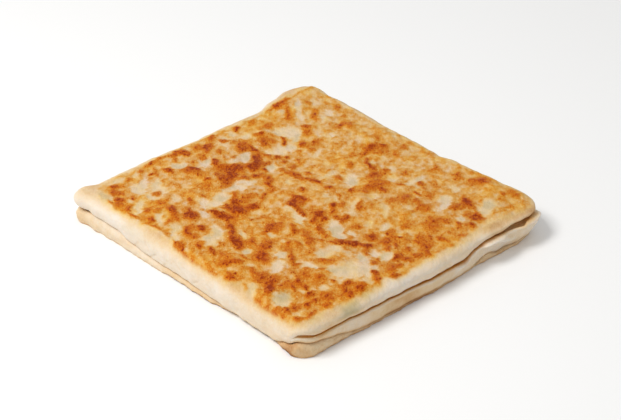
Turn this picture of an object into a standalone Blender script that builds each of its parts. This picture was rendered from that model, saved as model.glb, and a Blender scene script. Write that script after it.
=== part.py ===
"""A gozleme: one sheet of thin dough folded in three round its filling and baked on a griddle.

The top leaf and the middle leaf are one piece that turns over in a plump fold along -Y.
The bottom leaf lies under them and shows as a low band round the foot.
Metres, +Z up, the toasted face on top, the origin under the middle of the bounding box.
"""
import math
import random

import bpy

MM = 0.001

# Size of the folded square and its plan corners, all in millimetres.
SIDE_X = 162.0
SIDE_Y = 158.0
CREST = 16.0
CORNER_RADIUS = {"left": 7.6, "front": 7.6, "right": 17.0, "back": 9.0}
SIDE_SPAN = 160.0

# Mesh counts: cells of the top grid, and so stations round the edge.
CELLS_X = 40
CELLS_Y = 39

# Edge profile.
SHOULDER_WIDTH = 5.6
SHOULDER_FULLNESS = 0.82
FOOT_TUCK = 1.6
SLIT_DEPTH = 5.6
SLIT_OPENING = 0.45
INNER_RING = 6.0
LEAF_GAP = 0.3
BASE_RIM = 0.8

# Top of the bottom leaf where it lies flat: thicker on the -X side.
LEAF_MIDDLE = 3.7
LEAF_SLOPE = -0.0173

# The top of the crust: raised back corner, long waves and toasted blisters.
BACK_CORNER = (-82.0, 66.0)
BACK_CORNER_RISE = 2.6
BACK_CORNER_REACH = 19.0
WAVE_HEIGHT = 0.38
BLISTER_COUNT = 95
BLISTER_HEIGHT = (0.25, 0.8)
BLISTER_RADIUS = (4.5, 9.5)
BLISTER_SEED = 41

# Values round the edge as (side, millimetres along that side, value).
# Side 0 is -Y from -X to +X, 1 is +X from -Y to +Y, 2 is +Y from +X to -X, 3 is -X back again.
BULGE = ((0, -60, 0.5), (0, 0, 0.0), (0, 60, 0.3), (1, -70, 1.0), (1, 0, 1.5), (1, 40, 0.4),
         (1, 70, 0.0), (2, -55, 1.5), (2, -24, 0.6), (2, -14, -1.3), (2, 15, -0.3), (2, 50, 1.2),
         (2, 72, 0.8), (3, -78, 3.6), (3, -66, 6.2), (3, -52, 3.4), (3, -38, 0.3), (3, 40, 0.4),
         (3, 66, 0.2), (3, 78, 2.3), (0, -79, 2.8), (0, -70, 0.8))
SLIT_HEIGHT = ((0, 60, 13.0), (1, -79, 13.7), (1, -70, 11.2), (1, -58, 8.0), (1, 0, 7.5),
               (1, 24, 7.2), (1, 33, 9.6), (1, 41, 11.8), (1, 72, 12.2), (2, -60, 10.0),
               (2, -40, 8.5), (2, 60, 8.5), (3, -60, 9.5), (3, 0, 8.2), (3, 55, 9.0),
               (3, 76, 12.4), (0, -60, 12.6))
SLIT_SHARE = ((0, 70, 0.0), (0, 79, 0.1), (1, -74, 0.8), (1, -66, 1.0), (1, 76, 1.0),
              (2, -66, 0.7), (2, -52, 0.0), (3, -74, 0.0), (3, -60, 1.0), (3, 58, 1.0),
              (3, 72, 0.0), (0, -70, 0.0))
POCKET = ((1, 28, 0.0), (1, 46, 0.5), (1, 68, 1.0), (2, -72, 1.0), (2, -58, 0.0), (1, -70, 0.0))
LIP_FLARE = ((0, 60, 0.0), (1, -60, 0.3), (1, 10, 0.5), (1, 40, 1.3), (1, 60, 1.5), (1, 74, 4.6),
             (2, -74, 4.2), (2, -60, 1.0), (2, -45, 0.0), (3, 0, 0.4))
FOOT_FLARE = ((1, -70, 0.4), (1, 30, 0.2), (1, 60, -1.0), (1, 76, 0.4), (2, -74, 0.4),
              (2, -50, 0.0), (3, 0, 0.0))
SEAM_HEIGHT = ((0, -76, 6.8), (0, -66, 7.7), (0, -50, 7.4), (0, -38, 5.3), (0, -18, 3.6),
               (0, 2, 2.8), (0, 26, 2.5), (0, 42, 1.4), (0, 62, 1.2), (0, 72, 4.2), (0, 79, 7.4),
               (1, -72, 6.0), (1, -60, 4.0), (1, -48, 1.7), (1, -38, 1.1), (1, 34, 1.1),
               (1, 43, 3.0), (1, 50, 1.3), (1, 72, 1.6), (2, -50, 2.6), (2, 0, 3.4), (2, 60, 4.2),
               (3, -60, 3.6), (3, 0, 2.4), (3, 50, 4.0), (3, 74, 6.6))
NOTCH = ((3, 66, 0.0), (3, 78, 2.3), (0, -79, 2.3), (0, -71, 1.0), (0, -66, 0.0))
LEAF_INSET = ((3, 66, -0.2), (3, 77, -0.9), (0, -78, -0.9), (0, -70, 0.1), (0, -55, 0.2),
              (0, 66, -0.2), (0, 78, 0.6), (1, -72, 0.9), (1, -50, 0.0), (1, 60, -0.9),
              (2, -74, -0.6), (2, -40, -0.3))


def smooth(t):
    """Ease between 0 and 1."""
    t = min(1.0, max(0.0, t))
    return t * t * (3.0 - 2.0 * t)


def place_on_edge(side, along):
    """One running number for a place on the edge, growing from 0 to four spans."""
    return side * SIDE_SPAN + along + SIDE_SPAN / 2.0


def edge_value(table, place):
    """Smooth value round the closed edge from a table of (side, along, value)."""
    total = 4.0 * SIDE_SPAN
    rows = sorted((place_on_edge(side, along) % total, value) for side, along, value in table)
    rows = [(rows[-1][0] - total, rows[-1][1])] + rows + [(rows[0][0] + total, rows[0][1])]
    for (start, first), (end, second) in zip(rows, rows[1:]):
        if start <= place <= end:
            return first + (second - first) * smooth((place - start) / max(end - start, 1e-6))
    return rows[0][1]


def corner_arcs():
    """Centre, radius and start angle of the four plan corners, in the order they are passed."""
    half_x, half_y = SIDE_X / 2.0, SIDE_Y / 2.0
    layout = (("left", -1, -1, 180.0), ("front", 1, -1, 270.0), ("right", 1, 1, 0.0),
              ("back", -1, 1, 90.0))
    arcs = []
    for name, sign_x, sign_y, start in layout:
        radius = CORNER_RADIUS[name]
        arcs.append((sign_x * (half_x - radius), sign_y * (half_y - radius), radius, start))
    return arcs


def side_points(side, cells):
    """Stations of one side, from the middle of its first corner arc to the middle of the next."""
    arcs = corner_arcs()
    first, second = arcs[side], arcs[(side + 1) % 4]
    first_arc = math.radians(45.0) * first[2]
    second_arc = math.radians(45.0) * second[2]
    turn = math.radians(first[3] + 90.0)
    start = (first[0] + first[2] * math.cos(turn), first[1] + first[2] * math.sin(turn))
    end = (second[0] + second[2] * math.cos(turn), second[1] + second[2] * math.sin(turn))
    straight = math.dist(start, end)
    length = first_arc + straight + second_arc
    points = []
    for step in range(cells):
        run = length * step / cells
        if run < first_arc:
            angle = turn - (first_arc - run) / first[2]
            centre, radius = first, first[2]
        elif run > first_arc + straight:
            angle = turn + (run - first_arc - straight) / second[2]
            centre, radius = second, second[2]
        else:
            angle, radius, centre = turn, 0.0, None
            share = (run - first_arc) / straight
            base = tuple(a + (b - a) * share for a, b in zip(start, end))
        normal = (math.cos(angle), math.sin(angle))
        if centre is not None:
            base = (centre[0] + radius * normal[0], centre[1] + radius * normal[1])
        points.append((base, normal, side * SIDE_SPAN + SIDE_SPAN * run / length))
    return points


def edge_stations():
    """Every station round the edge: bulged plan point, outward normal and edge place."""
    stations = []
    for side in range(4):
        cells = CELLS_X if side in (0, 2) else CELLS_Y
        for base, normal, place in side_points(side, cells):
            ripple = 0.35 * math.sin(place * 0.21 + 1.0) + 0.25 * math.sin(place * 0.47)
            bulge = edge_value(BULGE, place) + ripple
            point = (base[0] + bulge * normal[0], base[1] + bulge * normal[1])
            stations.append((point, normal, place))
    return stations


def blisters():
    """Seeded centres, radii and heights of the toasted blisters."""
    draw = random.Random(BLISTER_SEED)
    return [(draw.uniform(-78, 78), draw.uniform(-76, 76), draw.uniform(*BLISTER_RADIUS),
             draw.uniform(*BLISTER_HEIGHT)) for _ in range(BLISTER_COUNT)]


BLISTERS = blisters()


def crust_height(x, y):
    """Height of the toasted top in millimetres."""
    waves = (math.sin(x * 0.075 + 0.6) * math.cos(y * 0.062 - 0.4)
             + 0.7 * math.sin(x * 0.041 - y * 0.097 + 1.9))
    height = CREST + WAVE_HEIGHT * waves
    away = math.dist((x, y), BACK_CORNER) / BACK_CORNER_REACH
    height += BACK_CORNER_RISE * math.exp(-away * away)
    for centre_x, centre_y, radius, rise in BLISTERS:
        share = ((x - centre_x) ** 2 + (y - centre_y) ** 2) / (radius * radius)
        if share < 1.0:
            height += rise * (1.0 - share) ** 2
    return height


def leaf_plane(x):
    """Height of the flat middle of the bottom leaf."""
    return LEAF_MIDDLE + LEAF_SLOPE * x


def shoulder(turn, top, widest):
    """Offset and height on the rounded shoulder; turn runs from 0 at the top to 1 at the side."""
    angle = turn * math.pi / 2.0
    out = math.sin(angle) ** (2.0 * SHOULDER_FULLNESS)
    up = math.cos(angle) ** SHOULDER_FULLNESS
    return (-SHOULDER_WIDTH * (1.0 - out), widest + (top - widest) * up)


def fold_profile(top, foot):
    """Offsets and heights down the closed fold, from below the top ring to the foot."""
    widest = foot + 0.45 * (top - foot)
    points = [shoulder(turn, top, widest) for turn in (0.3, 0.55, 0.78, 1.0)]
    for share in (0.2, 0.32, 0.44, 0.56, 0.68, 0.84, 1.0):
        angle = share * math.pi / 2.0
        points.append((-FOOT_TUCK * (1.0 - math.cos(angle)),
                       widest - (widest - foot) * math.sin(angle)))
    return points


def slit_profile(top, foot, slit, pocket, lip, base):
    """The same points where the top leaf lies open on the middle leaf."""
    under = slit + SLIT_OPENING + 1.1 * pocket
    leaf = top - under
    widest = under + 0.45 * leaf
    points = [shoulder(turn, top, widest) for turn in (0.3, 0.55, 0.78, 1.0)]
    points.append((-0.45, under + 0.14 * leaf))
    points.append((-1.9, under))
    points.append((-SLIT_DEPTH, slit - 1.6 * pocket))
    points.append((lip - 1.3, slit - 0.15))
    points.append((lip - 0.1, slit - 1.1))
    points.append((0.5 * (lip + base), 0.5 * (slit + foot)))
    points.append((base - 0.2 * FOOT_TUCK, foot + 0.16 * (slit - foot)))
    return points


def packet_profile(point, place):
    """Offsets and heights of one station of the folded packet, top ring to inner ring."""
    top = crust_height(*point)
    foot = edge_value(SEAM_HEIGHT, place) + edge_value(NOTCH, place) + LEAF_GAP
    slit = edge_value(SLIT_HEIGHT, place)
    share = edge_value(SLIT_SHARE, place)
    closed = fold_profile(top, foot + 0.25)
    opened = slit_profile(top, foot + 0.25, slit, edge_value(POCKET, place),
                          edge_value(LIP_FLARE, place), edge_value(FOOT_FLARE, place))
    profile = [(a[0] + (b[0] - a[0]) * share, a[1] + (b[1] - a[1]) * share)
               for a, b in zip(closed, opened)]
    profile.append((-2.4 + edge_value(LEAF_INSET, place), foot))
    return profile


def leaf_profile(place):
    """Offsets and heights of one station of the bottom leaf, inner ring to base rim."""
    seam = edge_value(SEAM_HEIGHT, place)
    inset = edge_value(LEAF_INSET, place)
    round_in = min(1.0, 0.3 * seam)
    return [(inset - 2.4, seam), (inset - 0.35 * round_in - 0.4, seam - 0.3 * round_in),
            (inset, 0.5 * seam), (inset - 0.3, 0.18 * seam), (inset - BASE_RIM, 0.0)]


def moved(station, offset, height):
    """Point at an outward offset from a station."""
    (x, y), (normal_x, normal_y), _ = station
    return (x + offset * normal_x, y + offset * normal_y, height)


def top_grid(stations):
    """Rows of plan points inside the top ring, blended from its four sides."""
    ring = [moved(station, -SHOULDER_WIDTH, 0.0)[:2] for station in stations]
    low = ring[:CELLS_X + 1]
    right = ring[CELLS_X:CELLS_X + CELLS_Y + 1]
    high = ring[CELLS_X + CELLS_Y:2 * CELLS_X + CELLS_Y + 1][::-1]
    left = (ring[2 * CELLS_X + CELLS_Y:] + ring[:1])[::-1]
    rows = []
    for row in range(CELLS_Y + 1):
        v = row / CELLS_Y
        line = []
        for column in range(CELLS_X + 1):
            u = column / CELLS_X
            line.append(tuple(
                (1 - v) * low[column][axis] + v * high[column][axis]
                + (1 - u) * left[row][axis] + u * right[row][axis]
                - (1 - u) * (1 - v) * low[0][axis] - u * (1 - v) * low[-1][axis]
                - (1 - u) * v * high[0][axis] - u * v * high[-1][axis] for axis in (0, 1)))
        rows.append(line)
    return rows


def ring_index(number):
    """Row and column of a station on the border of the top grid."""
    if number < CELLS_X:
        return 0, number
    if number < CELLS_X + CELLS_Y:
        return number - CELLS_X, CELLS_X
    if number < 2 * CELLS_X + CELLS_Y:
        return CELLS_Y, 2 * CELLS_X + CELLS_Y - number
    return 2 * (CELLS_X + CELLS_Y) - number, 0


def strip(faces, upper, lower, leaning_back=False):
    """Triangles between two closed rings of vertex numbers, outside facing out."""
    count = len(upper)
    for here in range(count):
        there = (here + 1) % count
        if leaning_back:
            faces.append((upper[here], lower[here], upper[there]))
            faces.append((lower[here], lower[there], upper[there]))
        else:
            faces.append((upper[here], lower[here], lower[there]))
            faces.append((upper[here], lower[there], upper[there]))


def fan(faces, vertices, ring, centre, facing_up):
    """Flat lid on a closed ring."""
    vertices.append(centre)
    middle = len(vertices) - 1
    count = len(ring)
    for here in range(count):
        there = (here + 1) % count
        pair = (ring[here], ring[there]) if facing_up else (ring[there], ring[here])
        faces.append((middle,) + pair)


def build_packet(stations):
    """The top and middle leaves as one folded body."""
    vertices, faces = [], []
    for line in top_grid(stations):
        for x, y in line:
            vertices.append((x, y, crust_height(x, y)))
    width = CELLS_X + 1
    for row in range(CELLS_Y):
        for column in range(CELLS_X):
            corner = row * width + column
            near, far = (corner, corner + 1), (corner + width, corner + width + 1)
            if (row + column) % 2:
                faces.append((near[0], near[1], far[1]))
                faces.append((near[0], far[1], far[0]))
            else:
                faces.append((near[0], near[1], far[0]))
                faces.append((near[1], far[1], far[0]))
    rings = [[row * width + column for row, column in map(ring_index, range(len(stations)))]]
    profiles = [packet_profile(point, place) for point, _, place in stations]
    for level in range(len(profiles[0])):
        rings.append([])
        for station, profile in zip(stations, profiles):
            rings[-1].append(len(vertices))
            vertices.append(moved(station, *profile[level]))
    rings.append([])
    for station in stations:
        x, y, _ = moved(station, -INNER_RING, 0.0)
        rings[-1].append(len(vertices))
        vertices.append((x, y, leaf_plane(x) + LEAF_GAP))
    for upper, lower in zip(rings, rings[1:]):
        strip(faces, upper, lower)
    fan(faces, vertices, rings[-1], (0.0, 0.0, leaf_plane(0.0) + LEAF_GAP), False)
    return vertices, faces


def build_leaf(stations):
    """The bottom leaf, flat underneath."""
    vertices, faces, rings = [], [], [[]]
    for station in stations:
        x, y, _ = moved(station, -INNER_RING, 0.0)
        rings[0].append(len(vertices))
        vertices.append((x, y, leaf_plane(x)))
    profiles = [leaf_profile(place) for _, _, place in stations]
    for level in range(len(profiles[0])):
        rings.append([])
        for station, profile in zip(stations, profiles):
            rings[-1].append(len(vertices))
            vertices.append(moved(station, *profile[level]))
    for level, (upper, lower) in enumerate(zip(rings, rings[1:])):
        strip(faces, upper, lower, leaning_back=level == 0)
    fan(faces, vertices, rings[0], (0.0, 0.0, leaf_plane(0.0)), True)
    fan(faces, vertices, rings[-1], (0.0, 0.0, 0.0), False)
    return vertices, faces


def dough_material(name, colour, roughness):
    """Plain baked dough."""
    material = bpy.data.materials.new(name)
    material.use_nodes = True
    shader = material.node_tree.nodes["Principled BSDF"]
    shader.inputs["Base Color"].default_value = (*colour, 1.0)
    shader.inputs["Roughness"].default_value = roughness
    return material


def add_node(name, vertices, faces, shift, material):
    """One named body, moved so that the bounding box stands centred on the origin."""
    placed = [((x + shift[0]) * MM, (y + shift[1]) * MM, z * MM) for x, y, z in vertices]
    mesh = bpy.data.meshes.new(name)
    mesh.from_pydata(placed, [], faces)
    mesh.validate()
    mesh.materials.append(material)
    body = bpy.data.objects.new(name, mesh)
    bpy.context.scene.collection.objects.link(body)


def main():
    """Clear the scene and add the two leaves."""
    for old in list(bpy.data.objects):
        bpy.data.objects.remove(old)
    stations = edge_stations()
    packet, leaf = build_packet(stations), build_leaf(stations)
    every = packet[0] + leaf[0]
    shift = [-(max(p[axis] for p in every) + min(p[axis] for p in every)) / 2.0 for axis in (0, 1)]
    add_node("folded_packet", *packet, shift, dough_material("toasted_dough", (0.62, 0.33, 0.11), 0.55))
    add_node("bottom_leaf", *leaf, shift, dough_material("baked_dough", (0.70, 0.52, 0.33), 0.6))


main()
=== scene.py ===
"""The gozleme as it looks: toasted, blistered crust, soft cream fold, open seams and toasted foot.

Lengths are millimetres until a mesh is made. x and y are measured from the middle of the plain
folded square; FRAME_SHIFT takes them to the row frame.
"""
import math
import random

import bpy
import numpy as np
from mathutils import Matrix, Vector


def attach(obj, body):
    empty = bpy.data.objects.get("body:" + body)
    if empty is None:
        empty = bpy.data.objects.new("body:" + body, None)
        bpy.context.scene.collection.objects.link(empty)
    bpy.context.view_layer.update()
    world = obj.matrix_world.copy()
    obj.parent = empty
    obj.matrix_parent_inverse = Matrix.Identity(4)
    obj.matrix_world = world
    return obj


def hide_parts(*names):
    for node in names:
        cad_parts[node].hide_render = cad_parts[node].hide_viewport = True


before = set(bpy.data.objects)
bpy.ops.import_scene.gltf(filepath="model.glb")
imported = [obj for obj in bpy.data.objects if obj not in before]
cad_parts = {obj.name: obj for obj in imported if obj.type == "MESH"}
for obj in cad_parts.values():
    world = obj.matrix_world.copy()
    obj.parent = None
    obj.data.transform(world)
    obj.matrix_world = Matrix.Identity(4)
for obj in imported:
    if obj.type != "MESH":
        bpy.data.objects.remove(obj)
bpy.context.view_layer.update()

MM = 0.001
FRAME_SHIFT = (1.3048, -0.1786)

# ---- the folded square, the same named sizes as the solids ----
SIDE_X = 162.0
SIDE_Y = 158.0
CREST = 16.0
CORNER_RADIUS = (7.6, 7.6, 17.0, 9.0)
CORNER_SIGNS = np.array(((-1, -1), (1, -1), (1, 1), (-1, 1)))
SIDE_SPAN = 160.0
SHOULDER_WIDTH = 5.6
SHOULDER_FULLNESS = 0.82
SLIT_DEPTH = 5.6
INNER_RING = 6.0
LEAF_GAP = 0.2
BASE_RIM = 0.8
LEAF_MIDDLE = 3.7
LEAF_SLOPE = -0.0173
BACK_CORNER = (-82.0, 66.0)
BACK_CORNER_RISE = 2.6
BACK_CORNER_REACH = 19.0
WAVE_HEIGHT = 0.38
BLISTER_COUNT = 95
BLISTER_HEIGHT = (0.25, 0.8)
BLISTER_RADIUS = (4.5, 9.5)
BLISTER_AREA = (78, 76)
BLISTER_SEED = 41

# Values round the edge, one line for each side, as pairs of millimetres along it and the value.
# The sides are -Y from -X to +X, +X from -Y to +Y, +Y from +X to -X, and -X back again.
BULGE = ("-79 2.8, -70 0.8, -60 0.5, 0 0, 60 0.3",
         "-70 1, 0 1.5, 40 0.4, 66 0.2, 78 2",
         "-76 2.2, -55 1.5, -24 0.6, -14 -1.3, 15 -0.3, 50 1.2, 72 0.8",
         "-78 3.6, -66 6.2, -52 3.4, -38 0.3, 40 0.4, 66 0.2, 78 2.3")
SLIT_HEIGHT = ("-60 12.6, 60 11",
               "-79 11.2, -70 9.3, -58 9, -38 8.6, 0 7.5, 24 7.2, 33 9.6, 41 11.8, 72 12.2",
               "-60 10, -40 8.5, 60 8.5",
               "-60 9.5, 0 8.2, 55 9, 76 12.4")
SLIT_SHARE = ("-70 0, 75 0, 79 0.4",
              "-77 0.5, -70 0.6, -62 0.8, -54 1, 76 1",
              "-66 0.7, -52 0",
              "-74 0, -60 1, 58 1, 72 0")
SLIT_GAPE = ("74 0.9, 79 2.2",
             "-77 1.6, -73 0.5, -66 0.3, -20 0.45, 0 0.7, 20 0.4, 40 0.2, 52 0.2, 72 0.15",
             "-60 0.6",
             "0 0.5, 70 0.6")
POCKET = ("", "-70 0, 44 0, 52 0.3, 58 1.1, 65 0.9, 72 0.2, 77 0", "-70 0, -58 0", "")
LIP_WIDTH = ("", "44 1.3, 53 1.6, 58 0.9, 64 1, 70 3, 75 4.8, 79 5", "-74 3, -56 1.3", "")
FRONT_TUCK = ("-74 1.5, -62 0.7, 60 0.7, 74 1.5", "-60 1.6", "", "66 1.6")
LIP_FLARE = ("60 0",
             "-60 0.3, 10 0.4, 40 0.8, 56 1.5, 66 3.4, 79 2.9",
             "-76 0.8, -70 0.2, -45 0",
             "0 0.4")
FOOT_FLARE = ("", "-70 0.4, 30 0.2, 60 -1, 76 -1.2", "-74 -1.2, -50 0", "0 0")
SEAM_HEIGHT = ("-76 6.8, -66 7.7, -50 7.4, -38 5.3, -18 3.6, 2 2.8, 26 2.5, 42 1.4, 62 1.2, 72 4.2, "
               "79 7.4",
               "-72 6, -60 4, -48 1.7, -38 1.1, 34 1.1, 43 3, 50 1.3, 72 1.6",
               "-50 2.6, 0 3.4, 60 4.2",
               "-60 3.6, 0 2.4, 50 4, 74 6.6")
NOTCH = ("-79 2.3, -71 1, -66 0", "", "", "66 0, 78 2.3")
LEAF_INSET = ("-78 -0.9, -70 0.1, -55 0.2, 16 0, 34 -2.4, 58 -2.8, 70 -0.6, 78 0.6",
              "-72 0.9, -50 0, 60 -0.9, 78 -2.5",
              "-74 -2.2, -40 -0.3",
              "66 -0.2, 77 -0.9")

# The packet's side: its widest place as a share of the height, the upper lip's round, the small
# round over the foot, how far in the foot lies, how much the wall swells, and the seam's offset.
WIDEST = 0.45
LIP_ROUND = 1.9
FOOT_ROUND = 0.25
FOOT_IN = 0.32
WALL_SWELL = 0.25
SEAM_IN = 2.4
# The lower lip's round: how far out it stands, and how far under the slit it starts and ends.
LIP_OUT = -0.1
LIP_TOP = 0.15
LIP_LOW = 1.1
# The first point inside the slit: how far in, and how far under the slit's roof.
ROOF_IN, ROOF_DROP = 3.6, 0.1
# The slit's gape and floor widen by these shares of the pocket's height.
POCKET_ROOF, POCKET_BACK, POCKET_FLOOR, POCKET_LIP = 1.1, 1.6, 1.7, 1.1
# The bottom leaf's rim: its widest place and its round as shares of the seam's height, and the
# most that its upper side slopes in.
LEAF_WIDEST = 0.42
LEAF_ROUND = 0.56
LEAF_REACH = 2.2
# Long waves of the crust, as radians per mm and start: a sine along x times a cosine along y, and
# a slanting sine along both with its share.
CRUST_SINE = (0.075, 0.6)
CRUST_COSINE = (0.062, -0.4)
CRUST_SLANT = (0.041, -0.097, 1.9, 0.7)

# ---- mesh fineness ----
CELLS_X = 216
CELLS_Y = 212
SHOULDER_STEPS = 13
LIP_STEPS = 6
WALL_STEPS = 12
LEAF_STEPS = 7
BASE_STEPS = 5

# Waves along the edge: how many in the whole round, height in mm, start in radians, and beats.
EDGE_WAVES = ((13, 0.30, 1.0, 0), (29, 0.20, 2.0, 5), (53, 0.16, 0.5, 7), (91, 0.09, 0.0, 11))

# Creases in the smooth fold: x, height, half length, lean, depth.
FOLD_CREASES = ((-33, 7.5, 2.2, 0.9, 0.40), (-25, 9.5, 2.6, -0.7, 0.45), (-21, 6.5, 2.0, 1.1, 0.50),
                (-12, 6.5, 2.2, 0.5, 0.40), (-4, 8.5, 2.2, -1.2, 0.35), (9, 6.0, 1.8, 1.3, 0.35),
                (21, 7.0, 2.2, -0.4, 0.30), (38, 5.0, 1.6, 0.8, 0.30))
CREASE_WIDTH = 0.55

# How far in from the plain square's edge the browning stops, and how wide its border fades.
BROWNING_MARGIN = ("-78 10, -73 8.6, -66 6.6, -59 4, -48 3.8, -33 4.4, -25 6.2, -14 5.4, -7 2.7, "
                   "3 0.2, 13 1.6, 26 2.4, 33 5, 38 4.6, 46 1, 58 -0.6, 68 0.4, 75 2.6",
                   "-74 4, -65 4.6, -58 4.4, -52 3.4, -45 2.6, -39 2.2, -30 2.2, -24 5, -19 1.2, "
                   "-13 1, -8 3.2, -2 3.8, 8 3.2, 19 2.8, 30 3.8, 40 5.8, 47 7, 50 5, 57 4.4, 64 3, 71 1.4",
                   "-70 1, -50 2.6, -30 4.8, -5 5.6, 14 6.2, 45 5.4, 66 4.2",
                   "-70 2.6, -50 2.8, -36 4.8, -24 5.8, 5 3.4, 30 4, 50 4.6, 66 6, 76 10")
BROWNING_FADE = ("-76 3, -50 2, 30 2.6, 70 3.2",
                 "-70 3.4, 10 2.6, 40 4.5, 66 6.5",
                 "-68 6, -45 3",
                 "0 2.4, 60 3.4")
# Ridge of the loose fold on the right wall, as (along, height), and the hollow under it.
RIDGE_LINE = ((14, 3.6), (20, 5.9), (25, 7.0), (30, 9.5), (36, 10.7), (43, 11.0), (48, 10.0),
              (53, 8.2), (58, 6.6), (64, 4.5))
RIDGE_OUT = 2.3
HOLLOW_IN = 1.3

# Grains run this much longer towards the front corner than across.
GRAIN_LENGTH = 1.4

# ---- noises of the mesh, as size in mm and seed, or as height, size and seed ----
GRAINS = (2.0, 15)
FINE = (1.2, 16)
COARSE = (11.0, 17)
MIDDLE = (3.8, 18)
WARP_X = ((1.0, 5.0, 11), (0.6, 2.0, 12))
WARP_Y = ((1.0, 5.0, 13), (0.6, 2.0, 14))
WARP_REACH = 1.1
RAGGED_BORDER = (5.0, 31)
RIM_PLACES = (9.0, 32)
WALL_MOTTLE = ((0.07, 9.0, 33), (0.05, 3.0, 34))
RIGHT_MOTTLE = (6.0, 35)
LOW_MOTTLE = (4.0, 36)
WALL_RELIEF = ((0.20, 11.0, 38), (0.15, 4.0, 39), (0.08, 2.0, 40))
FILLING_RAGGED = (3.0, 41)
CREASE_RAGGED = (3.0, 43)
LEAF_EDGE = ((0.34, 4.5, 51), (0.34, 1.9, 52))
LEAF_MOTTLE = ((0.10, 6.0, 53), (0.08, 2.2, 54))
LEAF_FOOT = (5.0, 55)
UNDER_MOTTLE = ((0.45, 9.0, 56), (0.6, 4.2, 57), (0.35, 2.1, 58))
UNDER_BLOTS = (8.0, 59)
BLOT_MOTTLE = (3.0, 60)

# ---- marks: x, y, long and short radius, turn in degrees, strength in percent ----
# The places were read on a plane 1.7 mm under the crest, which puts them this far from the viewer.
MARKS_ASIDE = (2.0, -1.9, 0.0)
# A mark's border falls off with this power of the distance, and past this reach nothing is left.
MARK_EDGE, MARK_REACH = 3.3, 2.4
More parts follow.
